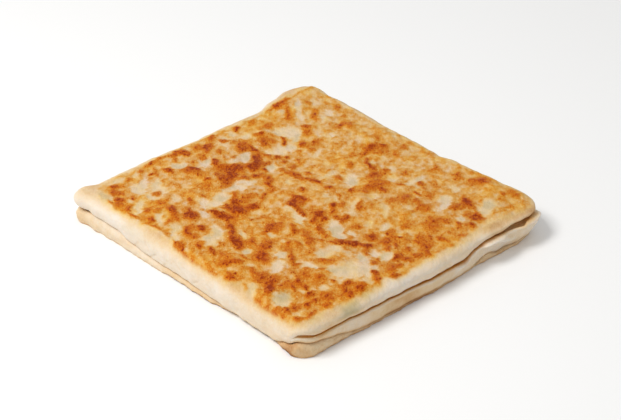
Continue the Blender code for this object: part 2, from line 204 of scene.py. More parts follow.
# Toasted spots and pale patches, in the order in which they were laid.
TOASTED = (
    "-79 53 5 3.4 135 75, -78 48 3 2.4 0 60, -81 58 3 2 135 50, -83 67 3 1.8 110 45, -70 64 6 2.2 145 22",
    "-61 60.5 4 1.8 135 45, -57 56 4 1.8 150 62, -67 47.5 8 2 142 50, -41.5 60 3.4 2.6 100 66",
    "-52 46 2.6 2.2 90 70, -33 33 2 1.5 135 50, -14.5 55 5 3.2 100 82, -12 61 2.6 2 90 62",
    "-13 48.5 2.6 1.5 100 62, -9 54 1.8 1.2 0 50, -6 44.5 5 1.6 142 72, -2 42 1.8 1.2 140 80",
    "-41 33 3.2 1.8 120 58, -37 27.5 1.5 1.2 0 50, -48 27.5 3 1.2 148 96, -52 29.5 2.6 0.9 160 62",
    "-62.5 24 2.3 1.8 90 76, -57 21 3 1.8 150 62, -54 19 3 2.4 0 55, -54 24.5 2.6 2 0 50",
    "-74.5 18.5 2.8 1.7 130 86, -66 33 3.6 2.6 110 50, -74 28.5 4 2 120 40, -40 15.5 2 1.2 130 90",
    "-36.5 19 1.8 1.5 0 76, -34 15 2.2 1.8 120 56, -45 13 3 1.5 20 60, -54 12 4.5 1.6 172 95",
    "-58 8 4.6 3.4 135 72, -66 9 3 1.8 0 42, -45.5 6.5 6 2.4 137 86, -41 3 4 2.8 110 96",
    "-38.5 0 2.6 2 120 82, -34.5 2.5 2.2 1.2 20 85, -29 9 1.6 1 0 60, -26 8.5 1.1 1 0 60",
    "-21 10 6 1.9 175 66, -12 12 7 1.5 12 66, -18 15.5 2.2 1.5 30 66, -8.5 14 2.5 1.2 172 92",
    "-0.3 13.3 2.3 1.8 120 86, -28 15 3.2 1.3 140 55, -5 23.5 2.6 2 0 62, -8 3 2.6 1.8 120 66",
    "-76 3.5 3.6 2.4 120 62, -20 65 4 2.6 150 40, -4 68 2.6 2 0 40, -2 60 3.4 2 140 52",
    "-57 71.5 3.2 2 140 50, -9.5 36 3.4 1.8 125 45, -30 21 3 1.5 135 42, -47 68 2 1.6 0 36",
    "45 72.5 4.6 3.8 120 66, 42 68 3 2 130 46, 63 75 4 2.4 150 52, 60 70.5 2.2 1.8 0 40",
    "33 67 4 2.8 130 42, 21 64.5 4 2.6 125 42, 52.8 53 2.4 1.5 155 100, 54.5 52.4 5.6 2.7 152 76",
    "66 46 3.8 2.7 130 80, 68.7 47 2.4 1.7 90 66, 61 51 2 0.9 150 40, 66.5 43.6 2.2 1 0 60",
    "54 46 4 2.4 115 56, 52 43 2.2 1.5 0 42, 26.5 49.5 2.6 2 0 60, 31.5 41.5 2.9 1.2 165 80",
    "20.2 41.5 2 1.2 30 76, 5 37.5 3.8 2.6 100 72, 0 42 4 2 140 56, 13 33 5.4 4 115 58",
    "18.2 31.5 2.5 1.5 0 76, 12.5 27 3.6 2.8 110 60, 9 20 2.1 1.7 110 86, 14 23 2.2 1.5 0 50",
    "38 44 4.2 2.2 125 36, 31.5 36 3.4 2 130 32, 37 35.5 5 1.4 142 46, 43.5 34 4.2 3.4 120 56",
    "56 27.5 6 4 135 50, 58 33.5 4 2.4 20 45, 65 35 3.2 1.4 140 62, 70 39 2.6 1.8 0 62, 73 30.5 3 2 60 50",
    "68 21 3 1.4 15 66, 63.2 18 2.1 1.5 150 72, 62 10.6 3.6 0.8 178 62, 67.5 10.8 2.4 0.7 8 70",
    "71.6 8 2.8 1.2 138 88, 54 7.4 1.9 1 15 88, 49 8 4 2.2 135 38, 52 3.5 4 2.8 135 30, 70 3 3 2.8 0 66",
    "63 3 3.2 1.5 140 66, 57 2 4 1.5 140 66, 13.5 3.4 2.8 1.8 130 92, 16 7 3 1.9 130 55",
    "25 1 2.3 2 130 72, 44 0.5 2.2 1.6 0 62, 22 12 5 1.8 125 66, 9 11 3.2 1 160 50, 48.5 16 5 2.3 110 45",
    "6 45.5 2.8 1.8 130 50, 14 50.5 3.2 1.8 140 45, 34 -0.5 2 1.6 0 55, -70 -4 4 3 120 76",
    "-67 -6.5 3.2 1 152 62, -63 -2.5 2.2 1.2 160 62, -54 -1 2.2 1.1 150 60, -56 -11 4 1.6 142 88",
    "-45 -7.5 6 4.4 115 82, -49 -12 4.5 3.4 0 72, -41 -14 3.6 2.8 125 92, -43 -18 6 2.4 165 66",
    "-41 -1 3.6 2.2 160 92, -33 -5 2.1 1.9 0 86, -22.5 -6 1.9 1.7 0 92, -17 -12.5 1.4 0.9 130 62",
    "-16 -15.5 3.2 1.5 125 50, -3.5 -3.4 5 1.8 8 82, -2.5 -8 4 2.8 125 86, -73.5 -16.5 4 2.4 20 72",
    "-71.5 -17.4 1.5 1 20 88, -76 -20 3.2 2 110 62, -72 -23.5 2.4 1.4 150 60, -58.5 -22.8 4.2 1.4 16 100",
    "-60 -25.4 3.4 2.6 30 56, -46 -24 1.8 1.4 150 82, -66.5 -32.5 3.2 1.6 16 100",
    "-69.3 -40.5 1.9 0.9 100 100, -77 -35 3.2 2.2 110 56, -74 -43 2.6 1.6 150 50",
    "-36.5 -43.5 3 1.6 150 72, -37 -36 2 1.4 0 42, -12.5 -24.5 3 2.4 100 92, -21 -28 4.2 2.4 150 76",
    "-15 -32 5 4.6 0 92, -20.5 -34 3.5 2 150 86, -16 -41 5.6 2.6 10 97, -21 -42.5 2.6 1.5 0 80",
    "-26 -24 3.6 1.2 150 60, -6 -44.5 5 2 150 82, -1 -47.2 3 1.9 138 76, -26.5 -51.5 4.2 3.5 130 96",
    "-30 -48.6 2.2 1.2 150 72, -37 -54 3.2 2 140 66, -33.5 -56 4 1.9 150 62, -29 -58 3.2 1.2 155 55",
    "-45 -54 3 2 0 42, -14 -55 3 2.8 0 76, -16 -62.2 4.6 1.8 142 88, -72 -52 2.4 1.4 95 40",
    "-72 -61 3.2 2.4 130 66, -68 -65 3.2 1.6 150 66, -60 -67.3 3.4 1.9 18 80, -57 -69.8 3.2 2.2 0 50",
    "-65 -63 3 2 150 50, -57 -61.5 3 1 160 50, -51 -68.5 3 1.1 110 72, -35.4 -67 2.2 1.5 150 72",
    "-34.6 -70 2 0.8 110 72, -59 -72.6 6 1 168 52, -45 -71.5 4 1 15 52, -27 -70.5 4 0.9 5 52",
    "-42.5 -64 3.2 2.2 120 52, -29 -63.5 4 1.8 100 45, -9 -71.5 3.6 2.4 150 68, -4 -74 4 1.4 152 52",
    "-2 -66 2.2 1.5 0 60, -78 -28 4 1.6 95 42, -68 -38 3 1.3 140 35, 13.6 -6 3.2 2.7 120 100",
    "18.6 -7 2.1 1.9 0 76, 16 -11.6 3 1.8 140 76, 4 -10.6 6 1.7 170 88, 9 -12 2 1 0 80",
    "0.4 -3.6 2 1.2 90 82, 17 -0.5 2.2 1.5 150 76, 25 -2.4 3 1.9 140 66, 22 -3 2 1.2 150 60",
    "45 -2 3 2.4 0 76, 48.5 -8.5 3.2 2.6 45 82, 43.5 -11.5 3.6 2.4 20 88, 39 -14.6 4 2.3 30 76",
    "37.5 -18.5 3 0.9 10 76, 23.5 -14.5 4 2 150 66, 29 -17 3 1.5 0 50, 33 -8 1.1 1 0 50",
    "56 -2.5 5 2 140 60, 65 -5 4 2.6 125 72, 69.5 -3 3 2.4 0 60, 71 -9.5 2.2 1.5 110 60",
    "61 -13.5 1.5 0.7 170 100, 62 -16.5 2.2 1.6 0 56, 54 -14 1.6 1.3 0 42, 69.5 -13 4 2.6 130 62",
    "76 -17.5 4 2.2 130 56, 68 -22 2.1 1.8 0 82, 72 -25 3.4 2.6 140 62, 16.5 -24.5 3 2.1 150 62",
    "13 -22 2.2 1 0 52, 7.5 -25 1.8 1.6 0 76, 6.5 -30 4 2.8 110 78, 8 -36 2.3 1.8 130 55",
    "27 -24.5 3 2 150 56, 31 -21 3 1.2 30 50, 26.5 -31 2.2 1.1 0 66, 23 -34 3 1.6 150 50",
    "44.5 -32.8 2.4 1.5 20 66, 33.5 -41.5 4.4 1.5 142 76, 39 -44 2.2 1.5 0 86, 45 -43 1.3 1.1 0 52",
    "50 -38.5 1.5 1.4 0 56, 60.5 -41 2.2 1 172 76, 54 -43.5 3.2 2 0 60, 48 -46.5 4 1.8 160 56",
    "66 -37 3 2.4 90 76, 71.5 -35 3.4 2.8 120 78, 69 -42 3.4 1.8 150 66, 73 -42 2.2 1.9 0 62",
    "18 -43 6 2.8 115 66, 22.5 -50.4 4.4 3.4 115 80, 27 -52 3.2 2.4 140 62, 4 -51 5 1.9 162 96",
    "10 -52.5 2.6 1.8 150 96, 56 -53 2.3 1 150 86, 61 -55.5 3 1.5 100 90, 65.5 -57 2.6 1.5 100 86",
    "66.5 -61.5 2.3 1.6 140 86, 53 -58 2.6 1.2 160 80, 72 -56 2.2 1.5 150 70, 68 -50 3.4 2.4 130 56",
    "36 -62 4.2 3 120 66, 43 -63 5 2.8 140 72, 46.5 -66.5 4 2 140 72, 48 -71 1.6 1.2 130 40",
    "41 -58 3.2 1.8 150 40, 30 -62 4 1.9 160 55, 4 -64 4 1.9 150 82, 16.5 -66 3.6 2.6 50 76",
    "19 -62 3 1.9 60 60, 10 -63 3.2 1.9 135 55, 27.6 -73 3 2.3 142 86, 64 -67 3 2.4 100 60",
    "63 -71.5 2.2 1.5 0 66, 72 -73 2.6 1.8 90 56, 59 -75 3 1 142 62, 48 -75 3.2 1.5 150 50",
    "73 -66 4 1.8 110 60, -38 -17 7 3.2 130 58, -36 -22 3.6 2.4 120 40, -53 -50 4 2.4 140 62",
    "-64 -12 3.6 2.8 140 60, -70 6 3 2.4 0 66, -11 -62 3 2 0 60, 50 -52 4.4 2 150 66",
    "61.5 44 2.6 1.6 130 56, 31 33 4.2 3 120 55, 7 -49 4.5 1.8 160 78, 1.5 -57 1.1 1 0 50",
    "18 -57 3 1 0 60, 4 -77.5 2.2 1 142 50, -41 -29 4.5 2.6 140 40, -26 -2 2.6 1.8 120 34",
    "-19 -8 4 2.2 120 48, -34 -10 3 2.4 0 50, -20 -23 4 2.6 130 50, 22 -22 4.5 2.6 140 50",
    "47 -30 4 2.4 130 36, 48 -57 4 3 130 52, 55 -46 4.5 2 150 40, 24 -70 3.4 2 140 46",
    "59 -73 3 1.8 140 40, 67 12 5 3 110 52, 1 -6 3.4 2.4 130 40, 10.5 -29 3.4 2.4 120 55",
    "38 -24 5 2.6 140 22, 29 -25 3.4 2.2 140 40, -39 8 3 2.4 130 60, -26 -3 4 2.4 130 52",
    "28 27 4 2.2 110 50, 57 47 4 2.6 140 28, 67 29 3.4 2.2 130 25, -12 -38 3.6 2.4 10 50",
    "-79 46 3.4 2.2 120 50, -47 42 3.4 2.6 120 50, -37 39 4 2.6 120 55, -55 -24 5 2.6 30 50",
    "-37 62 4 2 140 40, 51 1 3.4 2.4 120 60, 51 -10 4 2.4 140 50, 65 -51 4 2.4 130 55",
    "71 -73 3 1.8 140 50, -23 -51 3.4 2.4 130 50, -3 -64 3.4 2.2 120 50, -18 -59 3.4 2.4 120 45",
    "-73 -8 3.6 2.2 130 55, -36 -11 4 2.6 110 50, -62 12 4 2.4 130 50, -38 16 3.4 2 140 18",
    "-30 -25 3.4 2.4 120 25, -16 43 3.4 2.2 120 45, 6 41 3.4 2.4 120 45, 36 40 4.4 2.4 120 18",
    "36 -9 3.4 2.2 130 20, 26 -37 4.4 2.4 150 45, 76 -55 4 1.8 90 50, 30 54 3.4 2.2 130 40",
    "-20 -18 3.4 2.2 120 45, -31 -2 3.4 2.2 120 45, 10 -45 3.6 2.4 130 45, 15 -8 4.4 2.2 130 40",
    "15 38 3.4 2 130 40, 61 14 5 2.6 130 45, -9 58 5 2.6 140 42, -60 24 3.4 2.2 130 45",
    "58 -65 4.4 2.6 150 15, -39 -61 3.4 2 140 45, 62 67 6 3.6 135 8, -69 30 5 3.4 135 12",
    "-66 54 5 3 135 16, -38 34 4 2.6 135 14, 9 -7 4 2.6 130 22, 5 -21 3.4 2.4 130 22",
    "44 -18 3.4 2.2 130 20",
)
PALE = (
    "-53 37 6 5 130 88, -58 33 4 3.6 0 80, -47 35 5 2 120 75, -44 22 5 3.8 140 80, -46 17 3 2.6 0 60",
    "-69 56 9 1.7 143 82, -61.5 51 4 1.8 150 66, -55 65 3.6 2.8 130 70, -52 58 4.4 1.5 125 60",
    "-37 50 3 2.4 90 60, -25 57 3 3 0 38, -29 32 6 1.7 115 52, -10 22 6.5 2.3 95 55, -1.5 29 4 3 120 70",
    "-66 18 3.8 2.8 110 66, -72 14 3 2.4 0 62, -69.5 6 5 3.6 140 88, -51 4 4.8 3.2 132 92",
    "-35 7 5 2.4 140 88, -4 54 4 1.7 150 42, -18 3 3 2.4 0 50, -79 33 6 2.4 95 62, 64.5 54.5 6 2.8 122 92",
    "45 46.5 5 3.8 125 82, 49 42 4 2 100 76, 56.5 46.5 4.2 3 115 70, 62 40 3.2 2 140 62",
    "41 57.5 4.2 2.8 140 56, 22 48 6 2.3 88 70, 13.5 43 4.2 3 140 56, 3 25.5 4.4 3.6 140 72",
    "20 24.5 4 2.8 130 45, 34 18 6.5 1.7 125 56, 43 9 4.2 2.4 100 72, 18 14.5 4 1.9 115 40",
    "5 6.5 3 2 140 50, 38 29 3 2 0 40, 15 67.5 4 1.2 140 50, -60 -14 5 3.6 150 88",
    "-66 -26.5 4.4 2.8 35 78, -51 -3 3 2.8 0 62, -36 -13 4.6 3.6 115 86, -30 -12 4 3 100 72",
    "-33 -22 5 3.6 115 90, -29 -30 5 3.8 110 90, -27 -37 4 3.4 110 82, -23 -46.4 6 2 165 52",
    "-31 -40 5 2.8 150 62, -29 -18 3 2 0 86, -56 -47 7 3.8 160 78, -62 -54 6 3.8 150 88",
    "-52 -53 4 3.8 0 72, -67 -47 3.2 1.6 140 62, -43 -46.5 4 2.8 150 52, -50 -63 5 2 125 88",
    "-46 -67 4 1.6 125 74, -36 -63 4 2.3 142 88, -3.5 -59.5 5 3.6 135 82, -7 -51.5 7 2.8 152 78",
    "1 -62 4 2.6 140 55, -22 -64 5 3.6 130 55, -8 -26 3 2.8 0 42, 8 -14 6 2.6 152 88, 12 -18 3 2 0 72",
    "26 -7 6 2.8 152 88, 32 -11 7 2.8 165 88, 36 -6 3 2 0 72, 55 -11 4 2.8 150 84, 61 -8 4 2.6 105 92",
    "55 -17 5 2.4 165 78, 40 -27 6 4.2 120 76, 41.5 -21 5 2.3 20 72, 59 -27 9 6.4 150 76",
    "56 -34 6 3.6 0 82, 45.5 -39.5 5.4 1.7 5 84, 63 -23 6 1.9 145 72, 28 -43 3.4 2.8 130 82",
    "34.5 -51 5.4 3.2 125 92, 3 -44 5 1.5 160 60, 15 -52.5 3 2.4 110 82, 12 -34 3 2 0 62",
    "20 -34 2.6 1.5 0 50, 56 -67 5 4.6 130 95, 62 -48 3 2.4 110 72, 25 -59 2.2 1.5 0 50",
    "21.5 -68 2.3 2 0 60, 57 -56 2.2 1.4 0 45, -30 -66 3.4 2 140 62, -16 -69 4.4 2 150 66",
    "38 -70.5 4 2 150 60, 50 -66.5 2.4 1.8 0 56, 49 13 4 3 110 62, 56 0 4 2.5 130 56, 24 6 4 3 130 45",
    "29 21 4 3 120 45, -42 27 3.2 2.5 130 72, -71 47 3 2.2 0 56, -68 66 5 2.2 145 50, 61 53 3 2.4 0 56",
    "-75 -57 5 3 100 66, -70 -70 5 2.5 150 60, -44 47 3 2 130 35, -20 30 3 1.6 120 30, 31 57 3 1.6 130 30",
    "0 -13 4 2.2 120 50, 14 -26 3.4 2.2 120 42, 35 38 4 2.8 120 46, 51 6 3.6 2.4 120 36, 65 51 3 2 130 40",
    "66 64 3.4 2.4 120 34, 21 -46 3.4 2.2 120 30, -29 -64 4 2.6 140 45, -7 -72 4 2 140 34",
    "23 54 4 2.4 130 46, 8 58 4 2 130 26, -65 -70 5 3 140 60, -55 -64 3 2 140 45, -35 -55 4 2 140 45",
    "-6 -72 5 2.2 160 45, -64 -12 3 2.4 0 45, -47 2 3.4 2 130 40, -47 28 3 2.4 130 45, 20 -44 5 2 120 50",
    "43 -75 4.5 3 150 60, 68 -70 5 2.6 150 40, 75 -74 4 2 140 50, 20 11 4 2.6 130 45, 24 0 3.4 2.4 130 45",
    "-4 46 3 2.2 120 45, 63 61 4.6 2.4 140 50, 70 10 4 2.4 130 45, 65 -19 4 2.2 120 45",
    "71 -28 4 2.6 130 45, 73 -14 3 2 130 40, 63 -39 4 2.4 150 50, 60 -53 3 2 140 40, 46 -53 4 2.2 140 45",
    "59 -7 4 2.2 120 40, -21 -16 3 2.4 120 50, 27 46 3 2 130 40, 36 5 4.4 2.4 120 50, 7 49 4 2.4 130 50",
    "-20 -42 3 1.8 120 30, -63 -13 3.4 2.4 140 50, -65 -23 4 2 140 50, -74 -46 4 2 120 50",
    "-63 -42 3.4 2 130 50, -52 -51 3 2 130 40, 38 -68 3.4 2.4 150 45, 40 -74 3.4 2 150 45",
    "70 -33 3.4 2.2 110 45, 67 -66 4.4 2 150 25, 61 59 4.4 2.4 140 60, 48 -20 3.4 2.2 140 40",
    "-64 -49 3.4 2.2 120 50, -20 -40 2.6 1.8 120 30, -26 -28 3 2 120 45, 9 10 4 2.4 130 45",
    "45 -65 3.4 2.4 120 45, 63 -76 4.4 1.8 150 45, -63 -13 3 2.2 140 40, 42 -42 3.6 2.2 130 40",
    "60 17 3 2 130 30, -42 -65 3.4 2.4 130 35",
)
# Golden islands in the pale patches, and places where the greens of the filling show through.
GOLD_ISLANDS = (
    "50 -24.5 5 3.4 150 45, -48 34 2 1 130 20",
)
FILLING_SHOWS = (
    "56 -67 4.5 4 130 80, 81.5 -50 6 3 95 100, -36 -63 3 1.8 142 40, 79 -38 4 3 100 40, -34 -80 12 3 0 20",
    "30 -43 2.5 2 130 30, -61 -53 4 3 150 25",
)
# Where the crust's hue leans to gold and to rose.
GOLDEN_PLACES = (
    "-42 -60 14 7 0 80, -70 34 14 8 90 80, -13 40 14 8 60 60, 10 34 12 8 90 60, 38 20 11 7 0 60",
    "54 15 9 6 0 50, 6 -40 9 6 0 45, -47 -27 7 5 0 60, -30 62 14 8 0 45, 60 66 14 9 0 40",
)
ROSY_PLACES = (
    "-25 -48 14 9 0 80, -33 -16 15 7 0 90, -50 1 12 8 0 80, -61 -20 9 6 0 70, 42 -10 13 7 0 70",
    "62 -14 11 6 0 70, 40 -54 8 7 0 60, 66 -72 7 5 0 50, 65 40 8 5 0 60, 49 40 8 5 0 50, 8 -8 12 6 0 40",
    "-66 -46 5 4 0 50, -32 14 9 6 0 40",
)

# ---- toasting of the crust: 0 is pale, 1 is scorched ----
BASE_TOAST = 0.42
TOAST_LEAN = (0.06, -0.09)
COARSE_TOAST, MIDDLE_TOAST, GRAIN_TOAST, FINE_TOAST = 0.07, 0.09, 0.075, 0.06
# Pale patches: where they start, how ragged, how wide they fade, how far browning hides them.
PALE_GRAIN = 0.12
WINDOW = (0.26, 0.16, 0.66, 0.8)
HALO = (0.02, 0.14, 0.80, 0.85)
HALO_TOAST, HALO_UNEVEN = 0.04, 0.09
SCORCH_TOP, SCORCH_SHARE = 1.15, 0.92
# Browned rim just inside the border: how far in, how wide, how dark, and its share on each side.
RIM_IN, RIM_WIDTH, RIM_TOAST = 1.2, 1.0, 0.56
RIM_SHARE = (0.50, 0.20, 0.30, 0.50)
GOLDEN_BORDER, GOLDEN_BORDER_WIDTH = 0.8, 8.0
# Relief of the crust in mm: raised scorched spots, sunken patches and three sizes of grain.
SCORCH_RELIEF, WINDOW_RELIEF, MIDDLE_RELIEF, GRAIN_RELIEF, FINE_RELIEF = 0.40, -0.42, 0.24, 0.20, 0.10

# Colours of the crust from palest to darkest, spread evenly over it, as sRGB.
CRUST_COLOURS = (
    (0.00, (228, 200, 158)), (0.05, (222, 190, 142)), (0.12, (218, 180, 124)),
    (0.20, (215, 170, 108)), (0.30, (212, 160, 90)), (0.40, (209, 152, 75)),
    (0.50, (207, 144, 61)), (0.60, (204, 135, 48)), (0.70, (201, 125, 36)),
    (0.80, (196, 113, 25)), (0.90, (188, 97, 14)), (0.95, (179, 83, 7)),
    (0.98, (162, 65, 5)), (1.00, (140, 50, 5)),
)
WINDOW_COLOUR = (216, 193, 160)
WINDOW_SHARE = 0.65
FILLING_COLOUR = (206, 210, 190)
FILLING_SHARE = 0.8
# Colours of the walls from cream to scorched.
WALL_COLOURS = (
    (0.00, (233, 221, 206)), (0.12, (231, 215, 193)), (0.35, (225, 198, 159)),
    (0.55, (208, 169, 122)), (0.75, (172, 122, 74)), (0.90, (128, 80, 40)),
    (1.00, (92, 54, 26)),
)
# Linear tints that make the crust more golden in some places and rosier in others.
GOLDEN_TINT = (1.05, 0.99, 0.58, 1.0)
ROSY_TINT = (0.95, 1.0, 1.42, 1.0)
HUE_NOISE_SHARE, HUE_GAIN, HUE_TOP = 1.8, 2.0, 0.9

# ---- dough material: noise textures are features per metre, detail and roughness ----
GRAIN_TEXTURE = (560.0, 2.5, 0.6)
FINE_TEXTURE = (1250.0, 3.0, 0.65)
HUE_TEXTURE = (210.0, 2.0, 0.6)
GRAIN_SHARE, FINE_SHARE, WALL_GRAIN_SHARE = 0.82, 1.4, 0.16
# Grains show most in the middle tones: power of the toasting, slope and least gain.
GAIN_POWER, GAIN_SLOPE, GAIN_LEAST = 1.6, 1.6, 0.16
# Specks: their texture, where they start in it, how steeply they rise, and their strength.
# The dark specks are browned grains; the pale specks are painted glints of an oily sheen.
DARK_SPECKS = ((430.0, 1.0, 0.4), 0.62, 6.0, 0.30)
PAINTED_GLINTS = ((760.0, 1.5, 0.5), 0.58, 7.0, 0.32)
SPECKS_LOST_IN_WINDOWS = -0.7
# Roughness from pale to dark dough, the bumps' strength and distance in metres, and the rest.
GLOSS = {"From Min": 0.1, "From Max": 0.9, "To Min": 0.62, "To Max": 0.38}
GRAIN_BUMP = (0.5, 0.0009)
FINE_BUMP = (0.4, 0.0004)
DOUGH_SHADER = {"Specular IOR Level": 0.06, "Subsurface Weight": 0.08,
                "Subsurface Radius": (1.0, 0.6, 0.35), "Subsurface Scale": 0.0012}

# ---- camera: where the viewer stands, in the frame of the plain square; and the studio ----
CAMERA_AZIMUTH = 47.36
CAMERA_ELEVATION = 31.42
CAMERA_DISTANCE = 1.0
CAMERA_LENS = 120.4
CAMERA_ASIDE = 0.0007
CAMERA_LIFT = 0.0068
SENSOR_WIDTH = 36.0
KEY_LIGHT = {"azimuth": -22.0, "elevation": 57.0, "distance": 1.1, "size": 0.45, "power": 7.93,
             "colour": (1.0, 0.99, 0.975)}
SURROUND_STRENGTH = 0.56
FLOOR_HALF = 2.0
FLOOR_COLOUR = (0.93, 0.93, 0.925, 1.0)
FLOOR_ROUGHNESS = 0.9


def smooth(t):
    """Ease between 0 and 1."""
    t = np.clip(t, 0.0, 1.0)
    return t * t * (3.0 - 2.0 * t)


def rise(value, start, width):
    """Ease from 0 at the start to 1 a width further on."""
    return smooth((value - start) / width)


def fall(value, end, width):
    """Ease from 1 to 0 over the width before the end."""
    return smooth((end - value) / width)


def bump(value, middle, width):
    """A bell of height 1 about the middle."""
    return np.exp(-((value - middle) / width) ** 2)


# ---- tones along the packet's walls: shape, place and width in mm, and how much browner ----
# The bell about x = 0 is painted shade that tones down the key light on the fold's wall.
FOLD_TONES = ((rise, -48.0, 12.0, 0.13), (fall, -50.0, 10.0, 0.06), (bump, 0.0, 16.0, 0.05),
              (bump, -36.0, 9.0, -0.06))
UPPER_RIGHT_TONES = ((bump, -16.0, 17.0, -0.18), (rise, 36.0, 10.0, 0.18), (bump, -64.0, 10.0, 0.10))
LOWER_RIGHT_TONES = ((bump, -16.0, 17.0, 0.28),)
SLIT_TONES = ((bump, -70.0, 7.0, 0.30),)
SIDE_TONES = ((rise, 34.0, 14.0, 0.44),)
FOOT_TONES = ((rise, 5.0, 20.0, -0.18),)
# Where the +X and +Y walls begin, and where the smooth fold's does, as place and width in mm.
FAR_WALL = (74.0, 6.0)
FOLD_WALL = (-70.0, 6.0)
# The +X wall's extra browning is painted shade on the side turned from the key light.
WALL_TONE, RIGHT_WALL_PAINTED_SHADE, REAR_TONE = 0.05, 0.14, 0.10
SHOULDER_TONE, RIGHT_SHOULDER_LESS, FOLD_SHOULDER_LESS, FOLD_FRONT_MORE = 0.46, 0.62, 0.16, 0.22
FOLD_FRONT_TONE, FOOT_TONE, RIGHT_FOOT_TONE, LOW_RIGHT_TONE = 0.10, 0.08, 0.28, 0.06
RIGHT_CORNER = (78.0, 76.0, 13.0)
RIGHT_CORNER_TONES = (0.20, -0.18)
# Painted light on the loose fold: the hollow under its ridge is lightened, the ridge gets a painted
# highlight and the lower lip's rim is lightened; the creases get painted shade.
HOLLOW_PAINTED_LIGHT, RIDGE_PAINTED_HIGHLIGHT, LIP_RIM_PAINTED_LIGHT, CREASE_PAINTED_SHADE = -0.14, -0.18, -0.10, 0.22
# Inside the slit the walls darken to a brown that is partly the crust's browned edge and partly painted
# shade, less in the pocket; the slit's mouth takes crust colour, also partly painted shade.
SLIT_BROWN_AND_SHADE, POCKET_LESS_SHADE = 0.56, -0.20
MOUTH_BROWN_AND_SHADE, FRONT_MOUTH_TONE = 0.60, -0.10
# The bottom leaf's tones.
LEAF_TONE, LEFT_LEAF_TONE, RIGHT_LEAF_TONE = 0.20, 0.15, 0.14
THIN_TONE, THIN_FOOT_TONE = 0.20, 0.26
LEAF_FOOT_TONE, RIGHT_LEAF_FOOT_TONE = 0.38, -0.16
FRONT_CORNER = (78.0, -77.0, 16.0)
FRONT_CORNER_TONE, RIGHT_FRONT_LESS = 0.64, 0.54


def tones(value, table):
    """Sum of a table of tones along a line."""
    return sum(amount * shape(value, place, width) for shape, place, width, amount in table)


def rows_of(lines):
    """Rows of numbers from lines of text such as "1 2, 3 4"."""
    return [[float(number) for number in row.split()] for row in ",".join(lines).split(",")
            if row.strip()]


def edge_value(table, place):
    """Smooth values round the closed edge from a table with one line for each side."""
    total = 4.0 * SIDE_SPAN
    rows = sorted((side * SIDE_SPAN + along + SIDE_SPAN / 2.0, value)
                  for side, line in enumerate(table) for along, value in rows_of([line]))
    rows = [(rows[-1][0] - total, rows[-1][1])] + rows + [(rows[0][0] + total, rows[0][1])]
    knots, values = np.array(rows).T
    here = np.clip(np.searchsorted(knots, place, side="right") - 1, 0, len(knots) - 2)
    share = smooth((place - knots[here]) / (knots[here + 1] - knots[here]))
    return values[here] + (values[here + 1] - values[here]) * share


CELL_PRIMES = np.array((374761393, 668265263, 2147483647), np.uint64)
SEED_PRIME, SEED_LIMIT = 974634777, 4294967291
MIX_PRIME = np.uint64(1274126177)
LOW_32_BITS = np.uint64(0xFFFFFFFF)
LOW_24_BITS = np.uint64(0xFFFFFF)
HALF_OF_24_BITS = 8388607.5


def lattice(cells, seed):
    """Repeatable numbers from -1 to 1 for whole-number places."""
    mixed = (cells.astype(np.uint64) * CELL_PRIMES).sum(axis=1)
    mixed = (mixed + np.uint64(seed * SEED_PRIME % SEED_LIMIT)) & LOW_32_BITS
    mixed = ((mixed ^ (mixed >> np.uint64(13))) * MIX_PRIME) & LOW_32_BITS
    mixed = mixed ^ (mixed >> np.uint64(16))
    return (mixed & LOW_24_BITS).astype(float) / HALF_OF_24_BITS - 1.0


def noise(points, size, seed):
    """Smooth gradient noise, about -1 to 1, with features of the given size."""
    turn = seed * 0.7
    x = points[:, 0] * math.cos(turn) - points[:, 1] * math.sin(turn)
    y = points[:, 0] * math.sin(turn) + points[:, 1] * math.cos(turn)
    where = np.stack((x, y, points[:, 2]), axis=1) / size + 1000.0
    base = np.floor(where).astype(np.int64)
    part = where - base
    ease = part * part * part * (part * (part * 6.0 - 15.0) + 10.0)
    total = np.zeros(len(points))
    for corner in range(8):
        step = np.array((corner & 1, corner >> 1 & 1, corner >> 2 & 1))
        weight = np.prod(np.where(step == 1, ease, 1.0 - ease), axis=1)
        total += weight * sum(lattice(base + step, seed * 3 + axis) * (part[:, axis] - step[axis])
                              for axis in range(3))
    return total * 1.5


def layers(points, table):
    """Sum of noises from a table of height, size and seed."""
    return sum(height * noise(points, size, seed) for height, size, seed in table)


def side_points(side, cells):
    """Stations of one side, from the middle of its first corner arc to the middle of the next."""
    corners = side, (side + 1) % 4
    half = np.array((SIDE_X, SIDE_Y)) / 2.0
    first, last = (CORNER_SIGNS[corner] * (half - CORNER_RADIUS[corner]) for corner in corners)
    radii = [CORNER_RADIUS[corner] for corner in corners]
    arcs = [math.pi / 4.0 * radius for radius in radii]
    turn = math.radians(270.0 + 90.0 * side)
    normal = np.array((math.cos(turn), math.sin(turn)))
    straight = float(np.linalg.norm(last - first + (radii[1] - radii[0]) * normal))
    length = arcs[0] + straight + arcs[1]
    run = length * np.arange(cells) / cells
    past = run - arcs[0]
    angle = turn + np.minimum(past, 0.0) / radii[0] + np.maximum(past - straight, 0.0) / radii[1]
    out = np.column_stack((np.cos(angle), np.sin(angle)))
    share = np.clip(past / straight, 0.0, 1.0)[:, None]
    plan = first + (last - first) * share + (radii[0] + (radii[1] - radii[0]) * share) * out
    return np.column_stack((plan, out, (side + run / length) * SIDE_SPAN))


def edge_waves(place):
    """Small uneven waves along the edge, closed all the way round."""
    turn = 2.0 * math.pi * place / (4.0 * SIDE_SPAN)
    return sum(height * np.sin(count * turn + start) * (0.6 + 0.4 * np.sin(beat * turn + start))
               for count, height, start, beat in EDGE_WAVES)


